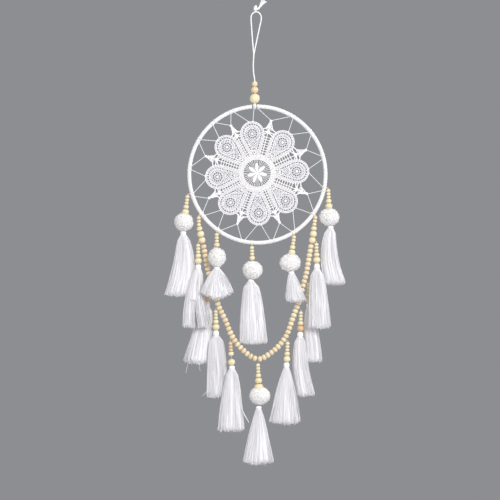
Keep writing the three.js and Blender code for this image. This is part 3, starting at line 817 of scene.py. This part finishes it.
laceDice = np.random.default_rng(21)
outlineRows, rosetteRows, framing, threads, pips = [], [], [], [], []
rosettes = [  # place along the petal, heart, then the rings of stitches round it
    {"at": 56.6, "heart": 1.7, "rings": ((4.1, 0.85), (7.6, 0.9)),
     "spokes": ((1.4, 4.1, 7), (4.1, 7.6, 12))},
    {"at": 32.4, "heart": 1.3, "rings": ((4.2, 0.8),), "spokes": ((1.1, 4.2, 7),)},
]
for petal in petalAngles:
    for inset in lace["outlineInsets"]:
        outlineRows.append(strand(petalRow(petal, inset, lace["stitchesForward"]), laceThick["outline"]))
        framing.append(strand(petalRow(petal, inset), laceThick["backing"]))
    slitOut, slitIn = [petalRow(petal, inset) for inset in lace["slitInsets"]]
    threads.append(strand(slitIn, laceThick["slit"]))
    for share in np.linspace(0.01, 0.99, lace["slitBars"]):
        outer = slitOut[int(share * (len(slitOut) - 1))]
        inner = slitIn[int(np.clip(share + laceDice.uniform(-0.006, 0.006), 0, 1) * (len(slitIn) - 1))]
        threads.append(strand([outer, inner], laceDice.uniform(0.38, 0.7)))
    for rosette in rosettes:
        heart = inPetal(petal, rosette["at"], 0)
        for radius, width in rosette["rings"]:
            rosetteRows.append(strand(laceRing(heart, radius, y=-0.5), width))
            threads.append(strand(laceRing(heart, radius)[:-1], laceThick["ring"], closed=True))
        for inner, outer, count in rosette["spokes"]:
            for a in np.linspace(0, 2 * math.pi, count, endpoint=False):
                ray = np.array([math.cos(a), 0, math.sin(a)])
                threads.append(strand([heart + ray * inner, heart + ray * outer], laceThick["spoke"]))
        pips.append(pipSkin(heart + np.array([0, -0.2, 0]), (rosette["heart"], 0.9, rosette["heart"]),
                            int(petal + 10 * rosette["at"])))
    run = []  # arcs of stitches that fill the petal round its large rosette
    for a in np.linspace(0, 2 * math.pi, 61):
        u = rosettes[0]["at"] + lace["arc"] * math.cos(a)
        v = lace["arc"] * math.sin(a)
        inside = abs(v) < petalHalf(u, lace["arcInset"])
        if inside:
            run.append(inPetal(petal, u, v, -0.35))
        if run and (not inside or a == 2 * math.pi):
            if len(run) > 3:
                rosetteRows.append(strand(run, laceThick["arc"]))
                threads.append(strand(run, laceThick["slit"]))
            run = []
    for slant in (-1, 1):
        for k in range(-8, 30):
            start = 27 + (k + laceDice.uniform(-0.22, 0.22)) * lace["netStep"]
            thick = laceDice.uniform(0.38, 0.62)
            run = []
            for t in np.arange(0, 44, 1.1):
                v = -16 + t * 0.72
                u = start + slant * (v * 0.95)
                inside = lace["root"] < u < 70 and abs(v) < petalHalf(u, 5.4)
                free = all(math.hypot(u - r["at"], v) > r["rings"][-1][0] for r in rosettes)
                if inside and free:
                    run.append(inPetal(petal, u, v, 0.3))
                elif run:
                    if len(run) > 1:
                        threads.append(strand([run[0], run[len(run) // 2], run[-1]], thick))
                    run = []

hub = onLace(0, 0)
for radius in lace["hubRows"]:
    outlineRows.append(strand(laceRing(hub, radius, 90, lace["stitchesForward"]), laceThick["hub"]))
    framing.append(strand(laceRing(hub, radius, 90)[:-1], laceThick["hubBacking"], closed=True))
for k in range(lace["spokes"]):
    angle = 360 * (k + laceDice.uniform(-0.15, 0.15)) / lace["spokes"]
    spoke = [onLace(4.5, angle, 0.2), onLace(13, angle, 0.2), onLace(lace["hubInner"] + 0.6, angle)]
    framing.append(strand(spoke, [0.24, 0.3, 0.5]))
for k in range(lace["flowerPetals"]):
    angle = 93 + 360 * k / lace["flowerPetals"]
    pips.append(leafSkin(angle, 1.2, 14.6, 2.45))
pips.append(pipSkin(hub + np.array([0, -0.8, 0]), (2.4, 0.9, 2.4), 5))

for i, star in enumerate(starAngles):
    left, right = petalAngles[i], petalAngles[(i + 1) % len(petalAngles)]
    framing.append(strand([onLace(lace["root"], star), onLace(59, star)], laceThick["ladderMiddle"]))
    for side, petal in ((-1, left), (1, right)):
        bar = [inPetal(petal, u, side * (petalHalf(u) + lace["besidePetal"])) for u in (25, 32, 39, 46, 52)]
        framing.append(strand(bar, laceThick["ladder"]))
    for r in np.arange(28.9, 58, lace["ladderStep"]):
        u = r * math.cos(math.radians((left - right) % 360 / 2))
        ends = [inPetal(petal, u, side * petalHalf(u)) for side, petal in ((-1, left), (1, right))]
        framing.append(strand(ends, laceThick["ladder"]))
    heart, second, tip = onLace(60.8, star), onLace(68.2, star), onLace(lace["starRadius"], star)
    framing.append(strand([heart, second, tip], laceThick["spine"]))
    for r, half in ((64.6, 5.4), (72.3, 2.6)):
        framing.append(strand([inPetal(star, r, half), inPetal(star, r, -half)], laceThick["starBar"]))
    for centre, radius, seed in ((heart, 2.8, 1), (second, 2.5, 2), (tip, 2.0, 3)):
        pips.append(pipSkin(centre, (radius, 1.0, radius), seed + 10 * i, rough=0.2))
    for side, petal in ((-1, left), (1, right)):
        shoulders = {u: inPetal(petal, u, side * (petalHalf(u) - 0.6)) for u in (54, 58, 61.5)}
        waist = (second + shoulders[61.5]) / 2
        rays = ((heart, shoulders[54]), (heart, shoulders[58]), (second, shoulders[61.5]), (tip, waist))
        for start, end in rays:
            framing.append(strand([start, (start + end) / 2, end], laceThick["ray"]))

stitchForm = makeStitch()
stitched = []
for name, group in (("doilyCrochetRows", outlineRows), ("doilyRosettes", rosetteRows)):
    piece = grown(name, lineMesh("rowLines", group), stitchTree, {
        "Stitch": stitchForm, "Stitch Length": lace["stitch"] * mm, "Finish": laceCotton,
    })
    stitched.append(piece)
bpy.data.objects.remove(stitchForm)
doilyFrame = spun("doilyFrame", framing, laceCotton)
# the net threads take the darker cotton, which is painted shade
doilyNet = spun("doilyNet", threads, shadedNetCotton, 5)
doilyPips = show("doilyKnots", joinSkins("doilyKnots", pips, laceCotton))
for piece in stitched + [doilyFrame, doilyNet, doilyPips]:
    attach(piece, "hoop")
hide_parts("doily")
print("doily worked in", len(outlineRows) + len(rosetteRows), "rows")


# Lacing between the doily and the hoop

tieAngles = [
    91.3, 59.3, 38, 14.8, -12.4, -34.3, -57.4, -77.5,
    -102.4, -124.6, -143.8, -162.4, -185.8, -210.2, -229.8, -248.1,
]
lacing = {"thick": 0.44, "pass": 1.7, "petalSpan": 2.4, "hoopKnot": 0.75, "laceKnot": 0.95}
lacingStrands, lacingKnots = [], []
ringInner = hoopRadius - wrapRadius
for i, petal in enumerate(petalAngles):
    tip = lace["petalCentre"] + lace["petalRadius"] - 0.4
    star = onLace(lace["starRadius"] + 0.8, starAngles[i])
    firstTie, secondTie = tieAngles[2 * i], tieAngles[2 * i + 1]
    lastTie = tieAngles[2 * i - 1]
    runs = [
        (onLace(tip, petal + lacing["petalSpan"]), lastTie - lacing["pass"]),
        (onLace(tip, petal - lacing["petalSpan"]), firstTie + lacing["pass"]),
        (star, firstTie - lacing["pass"]),
        (star, secondTie + lacing["pass"]),
    ]
    for start, angle in runs:
        end = polar(ringInner, angle, -0.6)
        lacingStrands.append(strand([start, (start + end) / 2, end], lacing["thick"], 0.3))
        onRing = polar(hoopRadius, angle)
        lacingStrands.append(loopRound(onRing, onRing - hoopMiddle, wrapRadius + 0.25, lacing["thick"], 0.3))
        for place, radius, seed in ((end, lacing["hoopKnot"], 2000), (start, lacing["laceKnot"], 4000)):
            lacingKnots.append(pipSkin(place, (radius, radius, radius), int(angle * 3 + seed), 5, 7))
lacingThread = spun("lacingThread", lacingStrands, stringCotton)
lacingTies = show("lacingKnots", joinSkins("lacingKnots", lacingKnots, stringCotton))
for piece in (lacingThread, lacingTies):
    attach(piece, "hoop")
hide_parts("lacing_thread")
print("doily laced to the hoop")


# Beads

beadShapes = {  # radius across the string and half height along it
    "small": (3.0, 2.3), "medium": (4.0, 3.1), "large": (5.0, 4.3), "huge": (6.5, 5.2), "swag": (4.1, 3.2),
}
beadTurning = {"rows": 9, "sides": 18, "fullness": 0.9}  # fullness under 1 makes a ball a little barrel-like
loopTurning = {"rows": 15, "sides": 28, "fullness": 1.0}


def makeBeadForm(name, bore, turning):  # a turned bead of unit size with a hole through it
    reach = math.acos(bore)
    profile = [(bore * 0.96, math.sin(reach) * 0.93)]
    for angle in np.linspace(reach, -reach, turning["rows"]):
        profile.append((math.cos(angle) ** turning["fullness"], math.sin(angle)))
    profile.append((bore * 0.96, -math.sin(reach) * 0.93))
    sides = turning["sides"]
    places, faces = [], []
    for r, h in profile:
        for a in np.linspace(0, 2 * math.pi, sides, endpoint=False):
            places.append((r * math.cos(a), r * math.sin(a), h))
    count = len(profile)
    for i in range(count):
        for j in range(sides):
            k = (j + 1) % sides
            n = (i + 1) % count
            faces.append((i * sides + j, n * sides + j, n * sides + k, i * sides + k))
    mesh = bpy.data.meshes.new(name)
    mesh.from_pydata(places, [], faces)
    giveValues(mesh, "local", places, "FLOAT_VECTOR")
    mesh.shade_smooth()
    return show(name, mesh)


beadForm = makeBeadForm("beadForm", 0.27, beadTurning)


def threadBeads(name, stations, finish, seed, form=None):  # stations: (middle, direction, radius, half, tone)
    dice = np.random.default_rng(seed)
    vectors = {
        "aim": [s[1] for s in stations],
        "size": [(s[2] * mm * dice.uniform(0.96, 1.03),) * 2 + (s[3] * mm * 1.02,) for s in stations],
        "shift": dice.uniform(-40, 40, (len(stations), 3)),
    }
    mesh = pointMesh(name + "Points", [s[0] for s in stations], vectors, {"tone": [s[4] for s in stations]})
    return grown(name, mesh, beadTree, {"Bead": form or beadForm, "Turn Seed": seed, "Finish": finish})


loopBeadForm = makeBeadForm("loopBeadForm", 0.32, loopTurning)
loopBeadTones = {"loop_bead_large": 0.0, "loop_bead_medium": 0.4, "loop_bead_small": 0.28}
for index, (name, tone) in enumerate(loopBeadTones.items()):
    low, high = nodeBox(name)
    middle = (low + high) / 2
    radius = (high[0] - low[0]) / 2
    half = 0.97 * radius
    station = (middle, up, radius, half, tone)
    piece = threadBeads(name + "_turned", [station], paleWood, 40 + index, loopBeadForm)
    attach(piece, "hanger")
    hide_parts(name)
bpy.data.objects.remove(loopBeadForm)

shortString = ["small", "small", "small", "medium"]
longString = shortString + ["large"]
threadSize = {"thick": 0.5, "tie": 0.42, "end": 0.5, "knot": 0.8, "belowTie": 0.4}
beadTones = {"pale": (0.0, 0.16), "orange": 0.8, "tan": 0.55}
orangeBeads = {"swag_left_2", "swag_right_3"}  # the lowest bead on these is a warmer wood
tanSmallBeads = {"swag_left_4"}
bareThread = {"swag_left_4": 4.5}  # above the lowest bead
pompomDrops = {
    "left_outer": longString, "left_inner": shortString, "centre": shortString,
    "right_inner": longString, "right_outer": longString, "bottom": longString + ["huge"],
}
tasselDrops = [f"swag_{side}_{k}" for side in ("left", "right") for k in range(1, 5)]
tiesOnHoop, tiesOnSwag = [], []


def makeBeadString(drop, kinds, seed):
    foot = endOf(drop + "_beads", "bottom")
    top = endOf(drop + "_beads", "top")
    aim = (top - foot) / np.linalg.norm(top - foot)
    dice = np.random.default_rng(seed)
    travel = threadSize["end"]
    stations = []
    for kind in reversed(kinds):
        radius, half = beadShapes[kind]
        tone = dice.uniform(*beadTones["pale"])
        if not stations and drop in orangeBeads:
            tone = beadTones["orange"]
        if kind == "small" and drop in tanSmallBeads:
            tone = beadTones["tan"]
        stations.append((foot + aim * (travel + half), aim, radius, half, tone))
        travel += 2 * half
        if len(stations) == 1:
            travel += bareThread.get(drop, 0)
    beads = threadBeads(drop + "_woodBeads", stations, paleWood, seed)
    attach(beads, drop + "_drop")
    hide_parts(drop + "_beads")
    line = [foot - aim * 1.5, foot, stations[-1][0] + aim * 3, top - aim * threadSize["belowTie"]]
    string = spun(drop + "_string", [strand(line, threadSize["thick"])], beadCotton)
    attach(string, drop + "_drop")
    return top


# Tassels

# width and shift: the hem against the CAD's, as a factor and in mm. opening: how soon the skirt spreads.
# bow: sideways at half length. split: half the gap between two lobes at the hem. arc: how much the hem's
# sides rise. cut: how far above the CAD's hem the threads end.
# strays: where each leaves (share of the length, place across), its end from there (x, z) and its thickness.
tasselLooks = {
    "left_outer": {"width": 1.34, "opening": 0.47, "bow": 4, "strays": [(0.9, 0.9, 2.5, -5, 0.22)]},
    "left_inner": {"width": 1.56, "opening": 0.7, "shift": -1, "arc": 1.6, "cut": -1},
    "centre": {"width": 1.38, "opening": 0.32, "shift": -0.9},
    "right_inner": {"width": 1.24, "opening": 0.7, "shift": 1.4},
    "right_outer": {"width": 1.1, "opening": 0.36, "bow": -5.0, "shift": 4.2},
    "bottom": {"width": 1.2, "opening": 0.78, "strays": [(0.92, -0.7, -2, -6, 0.22)]},
    "swag_left_1": {"width": 1.36, "opening": 0.45, "bow": -3.5, "split": 2.5},
    "swag_left_2": {"width": 1.45, "opening": 0.55, "shift": -1.5,
                    "strays": [(0.85, -0.8, -4, -28, 0.24), (0.9, -0.1, 3, -20, 0.22),
                               (0.8, 0.7, 6, -12, 0.22)]},
    "swag_left_3": {"width": 1.42, "opening": 0.26,
                    "strays": [(0.9, -0.9, -7, -9, 0.26), (0.94, -0.5, -5, -7, 0.22)]},
    "swag_left_4": {"width": 1.4, "opening": 0.45, "shift": -0.5,
                    "strays": [(0.42, 0.85, 13, -40, 0.5), (0.5, 0.85, 10, -30, 0.4),
                               (0.92, -0.9, -4, -6, 0.24)]},
    "swag_right_1": {"width": 1.38, "opening": 0.33},
    "swag_right_2": {"width": 1.36, "opening": 0.45, "shift": -0.5, "strays": [(0.93, 0.6, 3, -8, 0.22)]},
    "swag_right_3": {"width": 1.32, "opening": 0.3, "bow": -3},
    "swag_right_4": {"width": 1.33, "opening": 0.75, "strays": [(0.93, -0.8, -4, -5, 0.24)]},
}
tasselSize = {
    "threads": 620, "points": 11, "thick": 0.28, "neck": 2.9, "head": 4.1, "clumps": 26, "gather": 0.6,
    "ragged": 1.9, "cut": 1.8, "wave": 0.5, "hemDepth": 4.6, "parting": 0.45,
    "coreWidth": 0.87, "coreSides": 72, "coreRows": 14, "coreEnd": 0.995, "heartPaintedShade": 0.5,
}
bindingSize = {"turns": 4, "pitch": 0.66, "radius": 3.15, "thick": 0.36, "tilt": 0.25}


def tasselPlaces(drop):
    name = drop + "_tassel"
    low, high = nodeBox(name)
    places = nodePoints(name)
    levels = np.unique(np.round(places[:, 2], 2))
    rings = [places[np.abs(places[:, 2] - level) < 0.05] for level in levels]
    hem = rings[0]
    neck = rings[-3]
    return {
        "top": high[2], "neck": neck.mean(0), "hem": hem.mean(0),
        "half": (hem[:, 0].max() - hem[:, 0].min()) / 2, "y": (hem[:, 1].max() + hem[:, 1].min()) / 2,
    }


def makeTassel(drop, seed):
    place = tasselPlaces(drop)
    looks = tasselLooks[drop]
    size = tasselSize
    dice = np.random.default_rng(seed)
    neck = np.array([place["neck"][0], place["y"], place["neck"][2]])
    hemHeight = place["hem"][2] + looks.get("cut", size["cut"])
    hem = np.array([place["hem"][0] + looks.get("shift", 0), place["y"], hemHeight])
    half = place["half"] * looks["width"]
    length = neck[2] - hem[2]
    split = looks.get("split", 0)
    share = np.linspace(0, 1, size["points"])

    def skirt(across, deep, level):  # a place in the skirt, level 0 at the neck and 1 at the hem
        opened = level ** looks["opening"]
        width = size["neck"] + (half - size["neck"]) * opened
        depth = size["neck"] + (size["hemDepth"] - size["neck"]) * opened
        below = np.clip(level - size["parting"], 0, 1) / (1 - size["parting"])
        parted = split * np.sign(across) * below ** 1.3
        x = neck[0] + (hem[0] - neck[0]) * level + looks.get("bow", 0) * np.sin(math.pi * level)
        lift = looks.get("arc", 1.0) * (across * half) ** 2 / (2.2 * length) * level
        x = x + across * (width - split * opened) + parted
        return np.stack([x, neck[1] + deep * depth, neck[2] - length * level + lift], axis=-1)

    strands = []
    clumpAngles = np.sort(dice.uniform(0, 2 * math.pi, size["clumps"]))
    clumpReach = dice.uniform(0.72, 1.0, size["clumps"])
    clumpPhase = dice.uniform(0, 6.3, size["clumps"])
    clumpFall = dice.normal(0, size["ragged"] * 0.4, size["clumps"])
    clumpTone = dice.uniform(0.0, 0.4, size["clumps"])
    for k in range(size["threads"]):
        angle = dice.uniform(0, 2 * math.pi)
        reach = math.sqrt(dice.uniform(0.5, 1.0))
        clump = dice.integers(size["clumps"])
        own = np.array([reach * math.cos(angle), reach * math.sin(angle)])
        shared = clumpReach[clump] * np.array([math.cos(clumpAngles[clump]), math.sin(clumpAngles[clump])])
        pull = size["gather"] if dice.random() < 0.7 else 0.0
        at = own + (shared - own) * pull
        fall = clumpFall[clump] + dice.normal(0, size["ragged"] * 0.5)
        wave = size["wave"] * dice.uniform(0.5, 1.6)
        line = skirt(np.full(len(share), at[0]), at[1], share)
        line[:, 2] -= fall * share
        line[:, 0] += wave * share * np.sin(share * 7 + clumpPhase[clump])
        line[:, 1] += wave * share * np.cos(share * 6 + clumpPhase[clump] * 1.7)
        line[0] = neck + np.array([own[0] * size["neck"], own[1] * size["neck"], 1.5])
        tone = np.clip(clumpTone[clump] + dice.normal(0.12, 0.22), 0, 1)
        strands.append(strand(line, size["thick"] * np.interp(share, [0, 0.9, 1], [1, 1, 0.95]), tone))
    for level, across, dx, dz, thick in looks.get("strays", []):
        before = np.linspace(0, level, 8)
        base = skirt(np.full(len(before), across), -0.5, before)
        bent = smooth([base[-1], base[-1] + np.array([dx * 0.25, -0.6, dz * 0.5]),
                       base[-1] + np.array([dx, -1.0, dz])], step=3)
        strands.append(strand(np.concatenate([base[:-1], bent]), thick, 0.2))
    threads = spun(drop + "_tasselThreads", strands, tasselViscose, 3)

    flutes = dice.uniform(0, 6.3, 4)

    def heart(first, last, middle, reach, deep):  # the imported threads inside, from one level to another
        rings = []
        for level in np.linspace(first, last, size["coreRows"]):
            ring = []
            for a in np.linspace(0, 2 * math.pi, size["coreSides"], endpoint=False):
                rib = 1 + 0.05 * level * (math.sin(19 * a + flutes[0] + level) + math.sin(31 * a + flutes[1]))
                across = middle + reach * math.cos(a) * size["coreWidth"] * rib
                ring.append(skirt(np.array(across), math.sin(a) * deep * rib, np.array(level)))
            rings.append(ring)
        return rings

    if split:
        hearts = [heart(0, 0.55, 0, 1, size["coreWidth"]), heart(0.3, size["coreEnd"], -0.46, 0.46, 0.7),
                  heart(0.3, size["coreEnd"], 0.46, 0.46, 0.7)]
    else:
        hearts = [heart(0, size["coreEnd"], 0, 1, size["coreWidth"])]
    coreMesh = joinSkins(drop + "_tasselHeart", hearts, tasselViscose)
    # painted shade: the heart is given a greyer tone than most threads, as if in shade inside the skirt
    giveValues(coreMesh, "tone", np.full(len(coreMesh.vertices), size["heartPaintedShade"]))
    core = show(drop + "_tasselHeart", coreMesh)

    headRings = []
    for t in np.linspace(0, 1, 11):
        z = place["top"] + (neck[2] - 0.6 - place["top"]) * t
        wide = size["head"] * (0.45 + 0.55 * math.sin(math.pi * (0.14 + 0.66 * t)))
        headRings.append([
            [neck[0] + wide * (1 + 0.035 * math.sin(13 * a)) * math.cos(a), neck[1] + wide * math.sin(a), z]
            for a in np.linspace(0, 2 * math.pi, 40, endpoint=False)
        ])
    head = show(drop + "_tasselHead", gridMesh("head", headRings, tasselViscose))
    binding = []
    radius = bindingSize["radius"]
    for k in range(bindingSize["turns"]):
        z = neck[2] + 0.3 - bindingSize["pitch"] * k
        binding.append(strand([
            [neck[0] + radius * math.cos(a), neck[1] + radius * math.sin(a),
             z + bindingSize["tilt"] * math.sin(a)]
            for a in np.linspace(0, 2 * math.pi, 20, endpoint=False)
        ], bindingSize["thick"], 0.35, closed=True))
    bound = spun(drop + "_tasselBinding", binding, tasselViscose, 5)
    for piece in (threads, core, head, bound):
        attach(piece, drop + "_drop")
    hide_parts(drop + "_tassel")


# Pompoms

pileSize = {
    "density": 620000.0, "smallest": 0.7, "largest": 1.25, "lean": 1.0, "core": 0.96, "corePaintedShade": 0.7,
    "rows": 30, "sides": 44, "lump": 0.008,
}
pompomLooks = {  # half height from the CAD, then shift, growth and how far a side is drawn out
    "left_outer": {"half": 12.6}, "left_inner": {"half": 13.2}, "centre": {"half": 12.6},
    "right_inner": {"half": 12.2, "drawnOut": -0.12}, "right_outer": {"half": 12},
    "bottom": {"half": 12.6, "shift": (0.6, 0, 2.0), "growth": (1.06, 1.0, 0.97), "drawnOut": 0.05},
}


def makeTuft():  # a short curl of yarn, in metres, standing on its root
    rings = []
    for i in range(5):
        t = i / 4
        turn = 4.0 * t
        middle = np.array([0.62 * math.cos(turn) - 0.62, 0.62 * math.sin(turn), 1.6 * t - 0.45])
        wide = 0.42 * (1 - 0.3 * t)
        rings.append([middle + wide * np.array([math.cos(a), math.sin(a), 0])
                      for a in np.linspace(0, 2 * math.pi, 4, endpoint=False)])
    mesh = gridMesh("tuftForm", rings, pompomYarn)
    # painted shade: each tuft is darker at its root, deep in the pile, and lighter at its tip
    giveValues(mesh, "tone", np.linspace(0.9, 0.1, len(mesh.vertices)))
    return show("tuftForm", mesh)


tuftForm = makeTuft()


def makePompom(drop, seed):
    looks = pompomLooks[drop]
    low, high = nodeBox(drop + "_pompom")
    middle = (low + high) / 2
    middle[2] = low[2] + looks["half"]
    radii = np.array([(high[0] - low[0]) / 2, (high[1] - low[1]) / 2, looks["half"]])
    radii = radii * looks.get("growth", 1.0)
    middle = middle + np.array(looks.get("shift", (0, 0, 0)))
    dice = np.random.default_rng(seed)
    waves = dice.normal(0, 1, (8, 3)) * 2.4
    phases = dice.uniform(0, 6.3, 8)
    drawnOut = looks.get("drawnOut", 0)
    rings = []
    for i in range(pileSize["rows"]):
        down = math.pi * (i + 0.5) / pileSize["rows"]
        ring = []
        for a in np.linspace(0, 2 * math.pi, pileSize["sides"], endpoint=False):
            ray = np.array([math.sin(down) * math.cos(a), math.sin(down) * math.sin(a), math.cos(down)])
            lump = pileSize["lump"] * np.sin(waves @ ray + phases).sum()
            lump += abs(drawnOut) * max(ray[0] * math.copysign(1, drawnOut), 0) ** 3
            ring.append(middle + ray * radii * pileSize["core"] * (1 + lump))
        rings.append(ring)
    mesh = gridMesh("pompomCore", rings, pompomYarn)
    # painted shade: the ball under the tufts is given a darker tone, as if shaded by the pile
    giveValues(mesh, "tone", np.full(len(mesh.vertices), pileSize["corePaintedShade"]))
    piece = grown(drop + "_pompomPile", mesh, pileTree, {
        "Tuft": tuftForm, "Tufts per Square Metre": pileSize["density"], "Smallest": pileSize["smallest"],
        "Largest": pileSize["largest"], "Lean": pileSize["lean"], "Seed": seed, "Finish": pompomYarn,
    })
    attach(piece, drop + "_drop")
    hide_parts(drop + "_pompom")


for index, (drop, kinds) in enumerate(pompomDrops.items()):
    top = makeBeadString(drop, kinds, 100 + index)
    makePompom(drop, 200 + index)
    makeTassel(drop, 300 + index)
    (tiesOnSwag if drop == "bottom" else tiesOnHoop).append(top)
print("pompom drops made")
for index, drop in enumerate(tasselDrops):
    top = makeBeadString(drop, longString, 120 + index)
    makeTassel(drop, 320 + index)
    tiesOnSwag.append(top)
bpy.data.objects.remove(tuftForm)
print("tassel drops made")


# Swag

leftRoute = [
    (-77.2, -99.6), (-74.3, -115.6), (-71.9, -129.5), (-68.8, -142.9), (-64.2, -160), (-58.8, -176.1),
    (-55, -188.4), (-49, -200.4), (-43.8, -211.8), (-39, -224.4), (-32.4, -236.4), (-23.6, -246.9),
    (-13.5, -256.2), (-6.6, -260.8), (-0.5, -262.7),
]
rightRoute = [
    (76.7, -99.4), (74.2, -114.3), (71.9, -127.7), (69.5, -141.2), (65.6, -155.5), (62, -170), (58.6, -182.5),
    (54.2, -193.9), (49.8, -206.2), (45.8, -218.2), (40.6, -230.6), (32.6, -241.8), (22.9, -251.2),
    (13.2, -258.2), (6.6, -261.9), (0.5, -263),
]
leftCluster = [(-83.9, -58.6), (-83.6, -61.3), (-83.4, -71.5), (-81, -84), (-78.6, -95.5), (-77.9, -98.6)]
rightCluster = [(83.1, -58.4), (82.6, -61), (81, -71.8), (79.8, -84), (77.9, -95.2), (77.2, -98.4)]
clusterBeads = ["small", "small", "small", "medium", "large", "large"]
swagThreads = []


def stringAlong(name, node, line, kinds, lead, finish, toneRange, seed):
    travel = travelAlong(line)
    directions = np.gradient(line, axis=0)
    dice = np.random.default_rng(seed)
    stations = []
    at = lead
    scale = (travel[-1] - lead) / sum(2 * beadShapes[k][1] for k in kinds)
    for kind in kinds:
        radius, half = beadShapes[kind]
        half *= min(scale, 1.06)
        mark = at + half
        spot = np.array([np.interp(mark, travel, line[:, k]) for k in range(3)])
        way = np.array([np.interp(mark, travel, directions[:, k]) for k in range(3)])
        way = way / np.linalg.norm(way) + dice.normal(0, 0.05, 3)
        stations.append((spot, way, radius, half, dice.uniform(*toneRange)))
        at += 2 * half
    beads = threadBeads(name, stations, finish, seed)
    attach(beads, "swag")
    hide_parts(node)


swagSides = (
    ("left", leftCluster, leftRoute, (0.0, 0.4), 60), ("right", rightCluster, rightRoute, (0.0, 0.25), 70),
)
for side, cluster, route, tones, seed in swagSides:
    top = smooth([atHoop(x, z) for x, z in cluster])
    long = smooth([atHoop(x, z) for x, z in route])
    stack = sum(2 * beadShapes[k][1] for k in clusterBeads)
    stringAlong(f"swag_{side}_clusterBeads", f"swag_{side}_cluster", top, clusterBeads,
                lengthOf(top) - 1.06 * stack - 0.4, paleWood, (0.05, 0.32), seed)
    count = round(lengthOf(long) / (2 * beadShapes["swag"][1]))
    stringAlong(f"swag_{side}_tanBeads", f"swag_{side}_strand", long, ["swag"] * count, 0.0,
                tanWood, tones, seed + 1)
    swagThreads += [strand(top, threadSize["thick"]), strand(long, threadSize["thick"])]
    tiesOnHoop.append(top[0])
swagString = spun("swagString", swagThreads, beadCotton)
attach(swagString, "swag")
bpy.data.objects.remove(beadForm)

hoopTieStrands, hoopTieKnots = [], []
for number, top in enumerate(tiesOnHoop):
    out = top - hoopMiddle
    out[1] = 0
    out /= np.linalg.norm(out)
    onRing = hoopMiddle + out * hoopRadius
    hoopTieStrands.append(loopRound(onRing, out, wrapRadius + 0.35, threadSize["tie"], turns=2.0, drift=1.2))
    hoopTieStrands.append(strand([onRing + out * (wrapRadius + 0.2), top], threadSize["tie"]))
    hoopTieKnots.append(pipSkin(top, (threadSize["knot"],) * 3, 900 + number, 5, 8))
hoopTies = spun("hoopTies", hoopTieStrands, stringCotton)
hoopTiePips = show("hoopTieKnots", joinSkins("hoopTieKnots", hoopTieKnots, beadCotton))
for piece in (hoopTies, hoopTiePips):
    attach(piece, "hoop")
swagTieKnots = [pipSkin(top, (threadSize["knot"],) * 3, 950 + k, 5, 8) for k, top in enumerate(tiesOnSwag)]
swagTiePips = show("swagTieKnots", joinSkins("swagTieKnots", swagTieKnots, beadCotton))
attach(swagTiePips, "swag")
print("swag and ties made")
